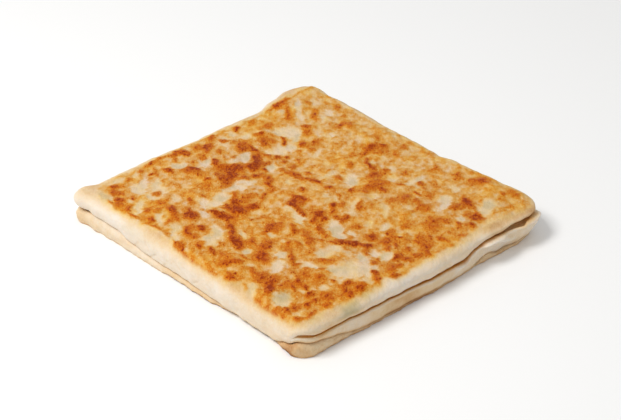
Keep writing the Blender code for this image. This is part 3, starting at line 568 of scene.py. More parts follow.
def edge_stations():
    """Plan points, outward normals and edge places of every station."""
    rows = np.concatenate([side_points(side, (CELLS_X, CELLS_Y)[side % 2]) for side in range(4)])
    plan, out, place = rows[:, :2], rows[:, 2:4], rows[:, 4]
    bulge = edge_value(BULGE, place) + edge_waves(place)
    return plan + bulge[:, None] * out, out, place


def blisters():
    """The large seeded blisters, as in the solids."""
    draw = random.Random(BLISTER_SEED)
    wide, high = BLISTER_AREA
    return [(draw.uniform(-wide, wide), draw.uniform(-high, high), draw.uniform(*BLISTER_RADIUS),
             draw.uniform(*BLISTER_HEIGHT)) for _ in range(BLISTER_COUNT)]


def crust_height(x, y):
    """Height of the toasted top before its fine relief."""
    along_x, along_y, start, share = CRUST_SLANT
    waves = (np.sin(x * CRUST_SINE[0] + CRUST_SINE[1]) * np.cos(y * CRUST_COSINE[0] + CRUST_COSINE[1])
             + share * np.sin(x * along_x + y * along_y + start))
    away = np.hypot(x - BACK_CORNER[0], y - BACK_CORNER[1])
    height = CREST + WAVE_HEIGHT * waves + BACK_CORNER_RISE * bump(away, 0.0, BACK_CORNER_REACH)
    for centre_x, centre_y, radius, lift in blisters():
        share = ((x - centre_x) ** 2 + (y - centre_y) ** 2) / (radius * radius)
        height = height + lift * np.clip(1.0 - share, 0.0, None) ** 2
    return height


def leaf_plane(x):
    """Height of the flat middle of the bottom leaf."""
    return LEAF_MIDDLE + LEAF_SLOPE * x


def shoulder(turn, top, widest):
    """Offset and height on the rounded shoulder; turn runs from 0 at the top to 1 at the side."""
    angle = turn * math.pi / 2.0
    out = math.sin(angle) ** (2.0 * SHOULDER_FULLNESS)
    up = math.cos(angle) ** SHOULDER_FULLNESS
    return -SHOULDER_WIDTH * (1.0 - out), widest + (top - widest) * up


def ridge_height(along):
    """Height of the loose fold's ridge along the right wall."""
    return np.interp(along, *zip(*RIDGE_LINE))


def fold_hollow(along, above):
    """Share of the hollow under the loose fold's ridge."""
    return fall(above, -0.4, 1.6) * rise(along, 30.0, 8.0) * fall(along, 60.0, 5.0)


def loose_fold(place, height):
    """How far the right wall stands out at the ridge of its loose fold and lies back under it."""
    along = place - 1.5 * SIDE_SPAN
    above = height - ridge_height(along)
    ridge = bump(np.where(above > 0.0, above / 1.9, -above / 0.75), 0.0, 1.0)
    ridge = ridge * rise(along, 15.0, 14.0) * fall(along, 62.0, 8.0)
    return RIDGE_OUT * ridge - HOLLOW_IN * fold_hollow(along, above)


def quarter(steps, first=1):
    """Shares and angles of the steps of a quarter turn."""
    return [(step / steps, step / steps * math.pi / 2.0) for step in range(first, steps + 1)]


def packet_profile(inner_top, top, place):
    """Offsets and heights of every station, level by level, with how deep each lies in the slit."""
    foot = edge_value(SEAM_HEIGHT, place) + edge_value(NOTCH, place) + LEAF_GAP
    slit = edge_value(SLIT_HEIGHT, place)
    pocket = edge_value(POCKET, place)
    lip, base = edge_value(LIP_FLARE, place), edge_value(FOOT_FLARE, place)
    under = slit + edge_value(SLIT_GAPE, place) + POCKET_ROOF * pocket
    low = foot + FOOT_ROUND
    closed_widest = low + WIDEST * (top - low)
    open_widest = under + WIDEST * (top - under)
    closed, opened = [], []
    for step in range(1, SHOULDER_STEPS + 1):
        turn = step / SHOULDER_STEPS
        height = inner_top + (top - inner_top) * smooth(1.6 * turn)
        closed.append(shoulder(turn, height, closed_widest))
        opened.append(shoulder(turn, height, open_widest))
    depth = [0.0] * SHOULDER_STEPS
    for share, angle in quarter(LIP_STEPS):
        opened.append((-LIP_ROUND * (1.0 - math.cos(angle)),
                       open_widest - (open_widest - under) * math.sin(angle)))
        depth.append(0.15 * share ** 3)
    width = edge_value(LIP_WIDTH, place)
    opened += [(-ROOF_IN, under - ROOF_DROP), (-SLIT_DEPTH, slit - POCKET_BACK * pocket),
               (-3.4 + 0.25 * lip, slit - POCKET_FLOOR * pocket - 0.15),
               (lip - 0.8 - width, slit - POCKET_LIP * pocket - 0.3)]
    depth += [0.8, 1.0, 0.9, 0.7]
    width = width + np.maximum(loose_fold(place, slit - LIP_TOP), 0.0)
    for share, angle in reversed(quarter(LIP_STEPS, 0)):
        height = slit - LIP_LOW + (LIP_LOW - LIP_TOP) * math.sin(angle)
        opened.append((lip + LIP_OUT - width * (1.0 - math.cos(angle)) + loose_fold(place, height),
                       height))
        depth.append(0.35 * share ** 2)
    for step in range(1, WALL_STEPS + 1):
        run = step / WALL_STEPS
        curve = (lip + LIP_OUT) * (1.0 - run) + (base - FOOT_IN) * run
        height = low + (slit - LIP_LOW - low) * (1.0 - run)
        opened.append((curve + WALL_SWELL * math.sin(math.pi * run) + loose_fold(place, height),
                       height))
        depth.append(0.0)
    tuck = edge_value(FRONT_TUCK, place)
    for _, angle in quarter(len(opened) - SHOULDER_STEPS):
        closed.append((-tuck * (1.0 - math.cos(angle)),
                       closed_widest - (closed_widest - low) * math.sin(angle)))
    share = edge_value(SLIT_SHARE, place)
    levels = [(a[0] + (b[0] - a[0]) * share, a[1] + (b[1] - a[1]) * share)
              for a, b in zip(closed, opened)]
    levels.append((-SEAM_IN + edge_value(LEAF_INSET, place), foot))
    depth.append(0.3)
    offsets, heights = (np.array(rows) for rows in zip(*levels))
    return offsets, heights, np.array(depth)[:, None] * share[None, :]


def leaf_profile(place):
    """Offsets and heights of the bottom leaf's rim, level by level."""
    seam = edge_value(SEAM_HEIGHT, place)
    inset = edge_value(LEAF_INSET, place)
    widest = LEAF_WIDEST * seam
    reach = np.minimum(LEAF_REACH, FOOT_ROUND + widest)
    levels = [(inset - SEAM_IN, seam)]
    for _, angle in quarter(LEAF_STEPS):
        levels.append((inset - reach * (1.0 - math.sin(angle)),
                       widest + LEAF_ROUND * seam * math.cos(angle)))
    for _, angle in quarter(BASE_STEPS):
        levels.append((inset - BASE_RIM * (1.0 - math.cos(angle)), widest * (1.0 - math.sin(angle))))
    return (np.array(rows) for rows in zip(*levels))


def top_grid(ring):
    """Plan points inside the top ring, blended from its four sides, row by row."""
    low = ring[:CELLS_X + 1]
    right = ring[CELLS_X:CELLS_X + CELLS_Y + 1]
    high = ring[CELLS_X + CELLS_Y:2 * CELLS_X + CELLS_Y + 1][::-1]
    left = np.concatenate((ring[2 * CELLS_X + CELLS_Y:], ring[:1]))[::-1]
    u = np.linspace(0.0, 1.0, CELLS_X + 1)[None, :, None]
    v = np.linspace(0.0, 1.0, CELLS_Y + 1)[:, None, None]
    grid = ((1 - v) * low[None] + v * high[None] + (1 - u) * left[:, None] + u * right[:, None]
            - (1 - u) * (1 - v) * low[0] - u * (1 - v) * low[-1]
            - (1 - u) * v * high[0] - u * v * high[-1])
    return grid.reshape(-1, 2)


def border_numbers():
    """Vertex numbers of the stations on the border of the top grid."""
    width = CELLS_X + 1
    numbers = list(range(CELLS_X))
    numbers += [row * width + CELLS_X for row in range(CELLS_Y)]
    numbers += [CELLS_Y * width + column for column in range(CELLS_X, 0, -1)]
    numbers += [row * width for row in range(CELLS_Y, 0, -1)]
    return np.array(numbers)


def grid_quads(first):
    """Quads of a top grid, facing up, whose first vertex has the given number."""
    width = CELLS_X + 1
    corner = first + (np.arange(CELLS_Y)[:, None] * width + np.arange(CELLS_X)[None]).ravel()
    return np.stack((corner, corner + 1, corner + width + 1, corner + width), axis=1)


def strips(rings):
    """Quads between rings of vertex numbers, outside facing out."""
    return np.concatenate([
        np.stack((upper, lower, np.roll(lower, -1), np.roll(upper, -1)), axis=1)
        for upper, lower in zip(rings, rings[1:])])


def fan(centre, ring):
    """Triangles, facing up, from a centre to a ring of vertex numbers."""
    return np.stack((np.full(len(ring), centre), ring, np.roll(ring, -1)), axis=1)


def level_points(plan, out, offsets, heights):
    """Points of every station on every level, level by level."""
    flat = plan[None] + offsets[:, :, None] * out[None]
    return np.concatenate((flat, heights[:, :, None]), axis=2).reshape(-1, 3)


def inner_ring(plan, out, lift):
    """Points of the ring where the hidden faces of packet and leaf turn flat."""
    flat = plan - INNER_RING * out
    return np.column_stack((flat, leaf_plane(flat[:, 0]) + lift))


def marks(points, table, rough):
    """How strongly a table of soft ragged patches covers each point, from 0 to 1."""
    bare = np.ones(len(points))
    for x, y, long, short, turn, strength in rows_of(table):
        angle = math.radians(turn)
        away = points[:, :2] - (x, y)
        near = (np.abs(away) < MARK_REACH * long).all(axis=1)
        if not near.any():
            continue
        along = away[near] @ (math.cos(angle), math.sin(angle))
        across = away[near] @ (-math.sin(angle), math.cos(angle))
        reach = np.hypot(along / long, across / short) * (1.0 + rough[near])
        bare[near] *= 1.0 - strength / 100.0 * np.exp(-reach ** MARK_EDGE)
    return 1.0 - bare


def crust_place(points):
    """Distance in from the plain square's edge, and the edge place and side nearest to each point."""
    x, y = points[:, 0], points[:, 1]
    away = np.stack((SIDE_Y / 2.0 + y, SIDE_X / 2.0 - x, SIDE_Y / 2.0 - y, SIDE_X / 2.0 + x))
    along = np.stack((x, y, -x, -y))
    side = np.argmin(away, axis=0)
    rows = np.arange(len(points))
    return away[side, rows], side * SIDE_SPAN + along[side, rows] + SIDE_SPAN / 2.0, side


def lengthened(points):
    """Points squeezed along the diagonal from the back corner to the front one."""
    diagonal = np.array((math.sqrt(0.5), -math.sqrt(0.5), 0.0))
    return points + np.outer(points @ diagonal, diagonal) * (1.0 / GRAIN_LENGTH - 1.0)


def crust_toast(points):
    """Toasting, windows, browning's reach, relief, two noises and hue of the crust from above."""
    x, y, z = points.T
    flat = np.column_stack((x, y, np.minimum(z - crust_height(x, y), 0.0)))
    warp = np.column_stack((layers(flat, WARP_X), layers(flat, WARP_Y), np.zeros(len(flat))))
    bent = flat + WARP_REACH * warp
    grains, fine = noise(lengthened(flat), *GRAINS), noise(lengthened(flat), *FINE)
    coarse, middle = noise(bent, *COARSE), noise(lengthened(bent), *MIDDLE)
    placed = bent - MARKS_ASIDE
    brown = marks(placed, TOASTED, 0.25 * grains + 0.2 * fine)
    pale = marks(placed, PALE, 0.2 * grains + 0.2 * fine)
    pale *= 1.0 - 0.9 * marks(placed, GOLD_ISLANDS, 0.2 * grains)
    toast = BASE_TOAST + (TOAST_LEAN[0] * x + TOAST_LEAN[1] * y) / SIDE_SPAN + COARSE_TOAST * coarse
    toast += MIDDLE_TOAST * np.tanh(3.0 * middle) + GRAIN_TOAST * np.tanh(3.0 * grains)
    toast += FINE_TOAST * fine
    window, halo = (
        smooth((pale - start + PALE_GRAIN * grains + ragged * middle) / width) * (1.0 - hidden * brown)
        for start, ragged, width, hidden in (WINDOW, HALO))
    scorch = np.clip(brown * (1.0 + 0.27 * grains + 0.09 * fine), 0.0, SCORCH_TOP)
    toast = toast * (1.0 - halo) + (HALO_TOAST + HALO_UNEVEN * (grains + middle)) * halo
    toast = toast + (SCORCH_TOP - toast) * scorch * SCORCH_SHARE
    inside, place, side = crust_place(points)
    gold = GOLDEN_BORDER * bump(np.maximum(inside, 0.0), 0.0, GOLDEN_BORDER_WIDTH)
    gold += marks(placed, GOLDEN_PLACES, 0.3 * middle) - marks(placed, ROSY_PLACES, 0.3 * middle)
    inside = inside - edge_value(BROWNING_MARGIN, place)
    inside += 1.2 * noise(flat, *RAGGED_BORDER) + 0.6 * middle + 0.4 * grains
    fade = edge_value(BROWNING_FADE, place)
    reach = smooth((inside + 1.2) / fade * 0.5 + 0.5)
    toast = toast * smooth((inside + 0.8 * fade) / (1.5 * fade) * 0.8 + 0.1)
    rim = bump(inside, RIM_IN, RIM_WIDTH) * np.array(RIM_SHARE)[side]
    rim *= rise(noise(flat, *RIM_PLACES), -0.8, 1.0) * fall(fade, 4.0, 1.5)
    toast = toast + np.clip(RIM_TOAST + 0.10 * grains - toast, 0.0, None) * rim
    relief = (SCORCH_RELIEF * smooth(scorch * 1.3) + WINDOW_RELIEF * window
              + MIDDLE_RELIEF * middle + GRAIN_RELIEF * grains + FINE_RELIEF * fine)
    return toast, window, reach, relief, coarse, middle, gold


def spread_evenly(values, among):
    """Values between 0 and 1 by rank, so that every shade covers the same share of the crust."""
    order = np.sort(values[among])
    return np.interp(values, order, np.linspace(0.0, 1.0, len(order)))


def build_packet():
    """Vertices, faces, share on the crust, edge place and depth in the slit of the packet."""
    plan, out, place = edge_stations()
    ring = plan - SHOULDER_WIDTH * out
    grid = top_grid(ring)
    offsets, heights, depth = packet_profile(crust_height(*ring.T), crust_height(*plan.T), place)
    levels, count = offsets.shape
    middle = [[0.0, 0.0, leaf_plane(0.0) + LEAF_GAP]]
    points = np.concatenate((np.column_stack((grid, crust_height(*grid.T))),
                             level_points(plan, out, offsets, heights),
                             inner_ring(plan, out, LEAF_GAP), middle))
    first, centre = len(grid), len(points) - 1
    rings = [first + level * count + np.arange(count) for level in range(levels + 1)]
    quads = [grid_quads(0), strips([border_numbers()] + rings)]
    lid = fan(centre, rings[-1])[:, [0, 2, 1]]

    turned = np.repeat(np.minimum(np.arange(1, levels + 1) / SHOULDER_STEPS, 1.0), count)
    hidden = np.ones(count + 1)
    crust_share = np.concatenate((np.ones(first), 1.0 - turned, 0.0 * hidden))
    place_all = np.concatenate((np.zeros(first), np.tile(place, levels), 0.0 * hidden))
    deep = np.concatenate((np.zeros(first), depth.ravel(), hidden))
    return points, quads, lid, crust_share, place_all, deep


def creases(points):
    """Depth of the little creases in the smooth fold of the -Y side."""
    depth = np.zeros(len(points))
    near = points[:, 1] < 6.0 - SIDE_Y / 2.0
    x, _, z = points[near].T
    ragged = 0.5 * noise(points[near], *CREASE_RAGGED)
    for crease_x, crease_z, long, lean, deep in FOLD_CREASES:
        bent = x - crease_x - lean * (z - crease_z) + ragged
        run = bump(bent, 0.0, CREASE_WIDTH) * np.exp(-((z - crease_z) / long) ** 4)
        depth[near] = np.maximum(depth[near], deep * run)
    return depth


def wall_tones(points, turned, place, deep):
    """How brown the packet's walls are, from 0 to 1, with painted shade on the +X wall, the fold's wall, in
    the slit and creases, and painted light on the loose fold.
    """
    x, y, z = points.T
    along = place - 1.5 * SIDE_SPAN
    on_wall = turned >= 1.0
    on_right, on_rear = rise(x, *FAR_WALL), rise(y, *FAR_WALL)
    on_fold = fall(y, *FOLD_WALL) * (1.0 - on_right)
    slit, in_pocket = edge_value(SLIT_HEIGHT, place), edge_value(POCKET, place)
    under_lip = smooth(slit - z)
    foot = edge_value(SEAM_HEIGHT, place) + edge_value(NOTCH, place)
    low = fall(z - foot, 2.0, 1.8) * on_wall
    wall = WALL_TONE + layers(points, WALL_MOTTLE)
    # Painted shade on the +X wall, which faces away from the key light.
    wall += RIGHT_WALL_PAINTED_SHADE * on_right + REAR_TONE * on_rear * (1.0 - on_right)
    shoulder_tone = SHOULDER_TONE + on_fold * (FOLD_FRONT_MORE * rise(x, -12.0, 18.0) - FOLD_SHOULDER_LESS)
    shoulder_tone *= 1.0 - on_right * (RIGHT_SHOULDER_LESS - tones(along, SIDE_TONES))
    wall += shoulder_tone * smooth(1.25 - 1.4 * turned)
    # Tones along the fold's wall; the bell about x = 0 is painted shade against the key light.
    wall += tones(x, FOLD_TONES) * on_fold * smooth(1.8 - 1.4 * turned)
    wall += FOLD_FRONT_TONE * on_fold * rise(x, 30.0, 16.0)
    wall += low * (FOOT_TONE + (RIGHT_FOOT_TONE + tones(along, FOOT_TONES)) * on_right) \
        * (1.0 + 0.4 * noise(points, *LOW_MOTTLE))
    wall += on_right * on_wall * (LOW_RIGHT_TONE + 0.10 * noise(points, *RIGHT_MOTTLE))
    wall += on_right * (under_lip * tones(along, LOWER_RIGHT_TONES)
                        + (1.0 - under_lip) * tones(along, UPPER_RIGHT_TONES))
    wall += on_right * rise(z - slit, -2.2, 1.2) * (under_lip > 0.0) * tones(along, SLIT_TONES)
    at_corner = bump(np.hypot(x - RIGHT_CORNER[0], y - RIGHT_CORNER[1]), 0.0, RIGHT_CORNER[2])
    upper, lower = RIGHT_CORNER_TONES
    wall += at_corner * (upper + (lower - upper) * under_lip)
    above = z - ridge_height(along)
    # Painted light lifting the shade in the hollow under the ridge.
    wall += HOLLOW_PAINTED_LIGHT * fold_hollow(along, above) * on_wall * (deep < 0.05)
    # Darker inside the slit: partly browned edge, partly painted shade; less of it in the pocket.
    wall += (SLIT_BROWN_AND_SHADE + POCKET_LESS_SHADE * in_pocket - wall) * smooth(deep * 1.15)
    # Painted highlight along the ridge of the loose fold.
    ridge = bump(above, 0.0, 1.3) * rise(along, 12.0, 10.0) * fall(along, 64.0, 6.0)
    wall += RIDGE_PAINTED_HIGHLIGHT * ridge * on_wall
    # Painted light on the lower lip's rim just under the slit.
    return wall + LIP_RIM_PAINTED_LIGHT * (deep > 0.0) * (deep < 0.36) * (z < slit) * (1.0 - low)


def dress_packet(points, crust_share, place, deep):
    """Shading values and relief of every vertex of the packet."""
    toast, window, reach, relief, coarse, middle, gold = crust_toast(points)
    turned = 1.0 - crust_share
    reach = reach * smooth(1.9 - turned * 2.4)
    toast = spread_evenly(toast, (turned <= 0.0) & (reach > 0.9))
    window *= fall(toast, 0.62, 0.35)
    toast *= rise(reach, 0.2, 0.7)
    crease = creases(points)
    # The creases are darkened with painted shade.
    wall = wall_tones(points, turned, place, deep) + CREASE_PAINTED_SHADE * crease
    height = relief * smooth(reach * 1.3) - crease
    height += (1.0 - reach) * layers(points, WALL_RELIEF) * (1.0 - smooth(deep * 3.0))
    # The slit's mouth takes the crust's orange-brown: partly browned edge, partly painted shade.
    mouth = MOUTH_BROWN_AND_SHADE + FRONT_MOUTH_TONE * bump(place - 1.5 * SIDE_SPAN, -78.0, 6.0)
    mouth *= smooth(deep * 2.4) * (1.0 - 0.5 * edge_value(POCKET, place))
    reach = np.maximum(reach, np.minimum(1.5 * mouth, 1.0))
    filling = marks(points, FILLING_SHOWS, 0.3 * noise(points, *FILLING_RAGGED))
    filling *= rise(points[:, 2], 9.5, 3.0)
    filling = np.maximum(filling, 0.55 * window * smooth(0.35 + 1.3 * coarse + 0.9 * middle))
    values = {"toast": np.maximum(toast, mouth), "window": window, "wall": 1.0 - reach,
              "wall_toast_and_painted_light": np.clip(wall, 0.0, 1.0), "filling": filling,
              "hue": np.clip(0.5 + 0.5 * gold, 0.0, 1.0)}
    return values, height


def build_leaf():
    """Vertices, faces and edge places of the bottom leaf, and which of its vertices are used."""
    plan, out, place = edge_stations()
    offsets, heights = leaf_profile(place)
    levels, count = offsets.shape
    rim = level_points(plan, out, offsets, heights)
    free = np.repeat(np.linspace(0.0, 1.0, levels), count)
    rough = layers(rim, LEAF_EDGE) * smooth(free * 4.0)
    rim[:, :2] += rough[:, None] * np.tile(out, (levels, 1))
    under = top_grid(rim[-count:, :2])
    under = np.column_stack((under, np.zeros(len(under))))
    points = np.concatenate((inner_ring(plan, out, 0.0), rim, [[0.0, 0.0, leaf_plane(0.0)]], under))
    centre = (levels + 1) * count
    rings = [level * count + np.arange(count) for level in range(levels + 1)]
    quads = [strips(rings[:-1]), grid_quads(centre + 1)[:, [0, 3, 2, 1]],
             strips([rings[-2], centre + 1 + border_numbers()])]
    place_all = np.concatenate((place, np.tile(place, levels), [0.0], np.zeros(len(under))))
    used = np.ones(len(points), bool)
    used[rings[-1]] = False
    return points, quads, fan(centre, rings[0]), place_all, used


def dress_leaf(points, place):
    """Shading values of every vertex of the bottom leaf."""
    x, y, z = points.T
    up = z / np.maximum(edge_value(SEAM_HEIGHT, place), 1.0)
    on_right = rise(x, *FAR_WALL)
    wall = LEAF_TONE + LEFT_LEAF_TONE * fall(x, -62.0, 10.0) + layers(points, LEAF_MOTTLE)
    wall += RIGHT_LEAF_TONE * on_right
    foot = smooth(1.0 - z / (1.1 + 0.8 * on_right))
    thin = fall(y, *FOLD_WALL) * (1.0 - on_right) * rise(x, -18.0, 10.0) * fall(x, 36.0, 12.0)
    wall += thin * (THIN_TONE + THIN_FOOT_TONE * foot)
    foot *= (LEAF_FOOT_TONE + RIGHT_LEAF_FOOT_TONE * rise(y, 5.0, 20.0) * on_right
             + 0.2 * noise(points, *LEAF_FOOT))
    at_front = bump(np.hypot(x - FRONT_CORNER[0], y - FRONT_CORNER[1]), 0.0, FRONT_CORNER[2])
    wall += foot * (1.0 - 0.7 * at_front)
    wall += at_front * (FRONT_CORNER_TONE - RIGHT_FRONT_LESS * on_right) * (1.1 - 0.3 * up)
    blots = rise(noise(points, *UNDER_BLOTS), 0.05, 0.35) * (0.8 + 0.5 * noise(points, *BLOT_MOTTLE))
    under = z < 1e-6
    toast = spread_evenly(layers(points, UNDER_MOTTLE) + 1.1 * blots, under)
    nothing = np.zeros(len(points))
    return {"toast": toast, "window": nothing, "wall": np.where(under, 0.0, 1.0),
            "wall_toast_and_painted_light": np.clip(wall, 0.0, 1.0), "filling": nothing, "hue": nothing + 0.5}


def mesh_piece(name, points, quads, lid, values, material):
    """A smooth-shaded piece in the row frame with its shading values on the vertices."""
    placed = (points + (*FRAME_SHIFT, 0.0)) * MM
    faces = np.concatenate(quads)
    mesh = bpy.data.meshes.new(name)
    mesh.from_pydata(placed.tolist(), [], faces.tolist() + lid.tolist())
    mesh.validate()
    for key, numbers in values.items():
        stored = mesh.attributes.new(key, "FLOAT", "POINT")
        stored.data.foreach_set("value", numbers.astype(np.float32))
    mesh.polygons.foreach_set("use_smooth", [True] * len(mesh.polygons))
    mesh.materials.append(material)
    piece = bpy.data.objects.new(name, mesh)
    bpy.context.scene.collection.objects.link(piece)
    return piece


def vertex_normals(points, quads, lid):
    """Area-weighted normals of a quad and triangle mesh."""
    normals = np.zeros_like(points)
    for faces in list(quads) + [lid]:
        first, second = points[faces[:, 0]], points[faces[:, 1]]
        third, last = points[faces[:, 2]], points[faces[:, -1]]
        across = np.cross(third - first, last - second) if faces.shape[1] == 4 \
            else np.cross(second - first, third - first)
        for column in range(faces.shape[1]):
            np.add.at(normals, faces[:, column], across)
    return normals / np.maximum(np.linalg.norm(normals, axis=1, keepdims=True), 1e-12)


def linear(colour):
    """sRGB from 0 to 255 as scene-linear RGBA."""
    parts = [part / 255.0 for part in colour]
    return (*(part / 12.92 if part <= 0.04045 else ((part + 0.055) / 1.055) ** 2.4
              for part in parts), 1.0)


def add(tree, kind, links=None, **settings):
    """A shader node with its settings, plain input values and links to sockets by input."""
    node = tree.nodes.new(kind)
    for key, value in settings.items():
        if key in node.inputs:
            node.inputs[key].default_value = value
        else:
            setattr(node, key, value)
    for key, socket in (links or {}).items():
        tree.links.new(socket, node.inputs[key])
    return node


def noise_texture(tree, place, scale, detail, rough):
    """Noise in object space, from 0 to 1; scale is in features per metre."""
    return add(tree, "ShaderNodeTexNoise", {"Vector": place}, Scale=scale, Detail=detail,
               Roughness=rough).outputs["Fac"]


def calc(tree, operation, *terms):
    """A maths node on sockets or numbers."""
    node = add(tree, "ShaderNodeMath", operation=operation)
    for number, term in enumerate(terms):
        if isinstance(term, (int, float)):
            node.inputs[number].default_value = term
        else:
            tree.links.new(term, node.inputs[number])
    return node.outputs[0]


def clamped(tree, value, top):
    """A value kept between 0 and 1, then scaled."""
    kept = add(tree, "ShaderNodeClamp", {"Value": value})
    return calc(tree, "MULTIPLY", kept.outputs["Result"], top)


def specks(tree, place, gain, texture, start, steep, strength):
    """Small scattered specks from the peaks of a noise texture."""
    peaks = calc(tree, "SUBTRACT", noise_texture(tree, place, *texture), start)
    return calc(tree, "MULTIPLY", clamped(tree, calc(tree, "MULTIPLY", peaks, steep), strength), gain)


def colour_ramp(tree, share, colours):
    """A colour ramp driven by a socket."""
    ramp = add(tree, "ShaderNodeValToRGB", {"Fac": share})
    stops = ramp.color_ramp.elements
    while len(stops) < len(colours):
        stops.new(0.5)
    for stop, (where, colour) in zip(stops, colours):
        stop.position = where
        stop.color = linear(colour)
    return ramp.outputs["Color"]


def blend(tree, share, first, second, kind="MIX"):
    """Two colours mixed by a socket; the second may be a plain colour."""
    mix = add(tree, "ShaderNodeMix", {"Factor": share}, data_type="RGBA", blend_type=kind)
    tree.links.new(first, mix.inputs[6])
    if isinstance(second, tuple):
        mix.inputs[7].default_value = second
    else:
        tree.links.new(second, mix.inputs[7])
    return mix.outputs[2]


def field(tree, name):
    """A shading value stored on the mesh."""
    return add(tree, "ShaderNodeAttribute", attribute_name=name).outputs["Fac"]


def dough_material(name):
    """Baked dough: granular browning on the crust with painted glints, cream walls, finely grained all
    over.
    """
    material = bpy.data.materials.new(name)
    material.use_nodes = True
    tree = material.node_tree
    shader = tree.nodes["Principled BSDF"]
    turned = add(tree, "ShaderNodeMapping",
                 {"Vector": add(tree, "ShaderNodeTexCoord").outputs["Object"]},
                 vector_type="TEXTURE", Rotation=(0.0, 0.0, -math.pi / 4.0),
                 Scale=(GRAIN_LENGTH, 1.0, 1.0))
    place = turned.outputs["Vector"]
    toast, window = field(tree, "toast"), field(tree, "window")
    grains = calc(tree, "SUBTRACT", noise_texture(tree, place, *GRAIN_TEXTURE), 0.5)
    fine = calc(tree, "SUBTRACT", noise_texture(tree, place, *FINE_TEXTURE), 0.5)
    mixed = calc(tree, "MULTIPLY_ADD", fine, FINE_SHARE, calc(tree, "MULTIPLY", grains, GRAIN_SHARE))
    gain = calc(tree, "PINGPONG", calc(tree, "POWER", toast, GAIN_POWER), 0.5)
    gain = calc(tree, "MULTIPLY_ADD", gain, GAIN_SLOPE, GAIN_LEAST)
    share = calc(tree, "MULTIPLY_ADD", mixed, gain, toast)
    outside = calc(tree, "MULTIPLY_ADD", window, SPECKS_LOST_IN_WINDOWS, 1.0)
    share = calc(tree, "MULTIPLY_ADD", specks(tree, place, gain, *DARK_SPECKS), outside, share)
    # Painted glints: pale specks of sheen that lighten the crust's colour.
    share = calc(tree, "SUBTRACT", share, specks(tree, place, gain, *PAINTED_GLINTS))
    colour = colour_ramp(tree, share, CRUST_COLOURS)
    hue = calc(tree, "SUBTRACT", noise_texture(tree, place, *HUE_TEXTURE), 0.5)
    hue = calc(tree, "MULTIPLY_ADD", hue, HUE_NOISE_SHARE, calc(tree, "SUBTRACT", field(tree, "hue"), 0.5))
    for steep, tint in ((HUE_GAIN, GOLDEN_TINT), (-HUE_GAIN, ROSY_TINT)):
        amount = clamped(tree, calc(tree, "MULTIPLY", hue, steep), HUE_TOP)
        colour = blend(tree, amount, colour, tint, "MULTIPLY")
    colour = blend(tree, calc(tree, "MULTIPLY", window, WINDOW_SHARE), colour, linear(WINDOW_COLOUR))
    wall_share = calc(tree, "MULTIPLY_ADD", mixed, WALL_GRAIN_SHARE, field(tree, "wall_toast_and_painted_light"))
    colour = blend(tree, field(tree, "wall"), colour, colour_ramp(tree, wall_share, WALL_COLOURS))
    tint = calc(tree, "MULTIPLY", field(tree, "filling"), FILLING_SHARE)
    colour = blend(tree, tint, colour, linear(FILLING_COLOUR), "MULTIPLY")
    gloss = add(tree, "ShaderNodeMapRange", {"Value": share}, **GLOSS)
    coarse_bump, fine_bump = (
        add(tree, "ShaderNodeBump", {"Height": height}, Strength=strength, Distance=distance)
        for height, (strength, distance) in ((grains, GRAIN_BUMP), (fine, FINE_BUMP)))
    tree.links.new(coarse_bump.outputs["Normal"], fine_bump.inputs["Normal"])
    tree.links.new(colour, shader.inputs["Base Color"])
    tree.links.new(gloss.outputs["Result"], shader.inputs["Roughness"])
    tree.links.new(fine_bump.outputs["Normal"], shader.inputs["Normal"])
    for key, value in DOUGH_SHADER.items():
        shader.inputs[key].default_value = value
    return material


def add_packet():
    """The folded packet with its crust."""
    points, quads, lid, crust_share, place, deep = build_packet()
    values, height = dress_packet(points, crust_share, place, deep)
    points = points + vertex_normals(points, quads, lid) * height[:, None]
    piece = mesh_piece("packet_dough", points, quads, lid, values, dough_material("crust_dough"))
    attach(piece, "root")
    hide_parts("folded_packet")


def add_leaf():
    """The bottom leaf."""
    points, quads, lid, place, used = build_leaf()
    values = {key: numbers[used] for key, numbers in dress_leaf(points, place).items()}
    renumbered = np.cumsum(used) - 1
    piece = mesh_piece("leaf_dough", points[used], [renumbered[faces] for faces in quads],
                       renumbered[lid], values, dough_material("leaf_dough_baked"))
    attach(piece, "root")
    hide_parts("bottom_leaf")


def direction(azimuth, elevation):
    """Unit vector from the object towards a place in the studio; azimuth 0 is -Y, 90 is +X."""
    a, e = math.radians(azimuth), math.radians(elevation)
    return Vector((math.sin(a) * math.cos(e), -math.cos(a) * math.cos(e), math.sin(e)))


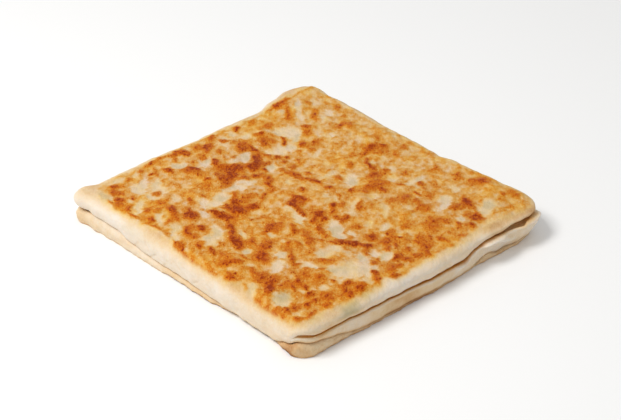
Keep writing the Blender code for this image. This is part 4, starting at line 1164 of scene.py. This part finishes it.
def add_camera():
    """The camera at the eye's place, level and without shift."""
    back = direction(CAMERA_AZIMUTH, CAMERA_ELEVATION)
    right = direction(CAMERA_AZIMUTH + 90.0, 0.0)
    up = back.cross(right)
    camera = bpy.data.objects.new("camera", bpy.data.cameras.new("camera"))
    camera.data.lens = CAMERA_LENS
    camera.data.sensor_width = SENSOR_WIDTH
    camera.data.sensor_fit = "HORIZONTAL"
    camera.matrix_world = Matrix((right, up, back)).transposed().to_4x4()
    camera.location = (back * CAMERA_DISTANCE + right * CAMERA_ASIDE + up * CAMERA_LIFT
                       + Vector((*FRAME_SHIFT, 0.0)) * MM)
    bpy.context.scene.collection.objects.link(camera)
    bpy.context.scene.camera = camera


def add_light(name, azimuth, elevation, distance, size, power, colour):
    """A soft square light aimed at the object."""
    lamp = bpy.data.lights.new(name, "AREA")
    lamp.size = size
    lamp.energy = power
    lamp.color = colour
    light = bpy.data.objects.new(name, lamp)
    place = direction(azimuth, elevation)
    light.location = place * distance
    light.rotation_euler = place.to_track_quat("Z", "Y").to_euler()
    bpy.context.scene.collection.objects.link(light)


def add_floor():
    """The pale floor."""
    half = FLOOR_HALF
    mesh = bpy.data.meshes.new("floor")
    mesh.from_pydata([(-half, -half, 0), (half, -half, 0), (half, half, 0), (-half, half, 0)], [],
                     [(0, 1, 2, 3)])
    material = bpy.data.materials.new("floor_white")
    material.use_nodes = True
    shader = material.node_tree.nodes["Principled BSDF"]
    shader.inputs["Base Color"].default_value = FLOOR_COLOUR
    shader.inputs["Roughness"].default_value = FLOOR_ROUGHNESS
    mesh.materials.append(material)
    floor = bpy.data.objects.new("floor", mesh)
    bpy.context.scene.collection.objects.link(floor)


def add_studio():
    """Pale floor, soft key light from the fold's side and an even white surround."""
    world = bpy.data.worlds.new("studio")
    world.use_nodes = True
    background = world.node_tree.nodes["Background"]
    background.inputs["Color"].default_value = (1.0, 1.0, 1.0, 1.0)
    background.inputs["Strength"].default_value = SURROUND_STRENGTH
    bpy.context.scene.world = world
    add_light("key", **KEY_LIGHT)
    add_floor()


add_camera()
add_packet()
add_leaf()
add_studio()
bpy.context.scene.view_settings.view_transform = "Standard"
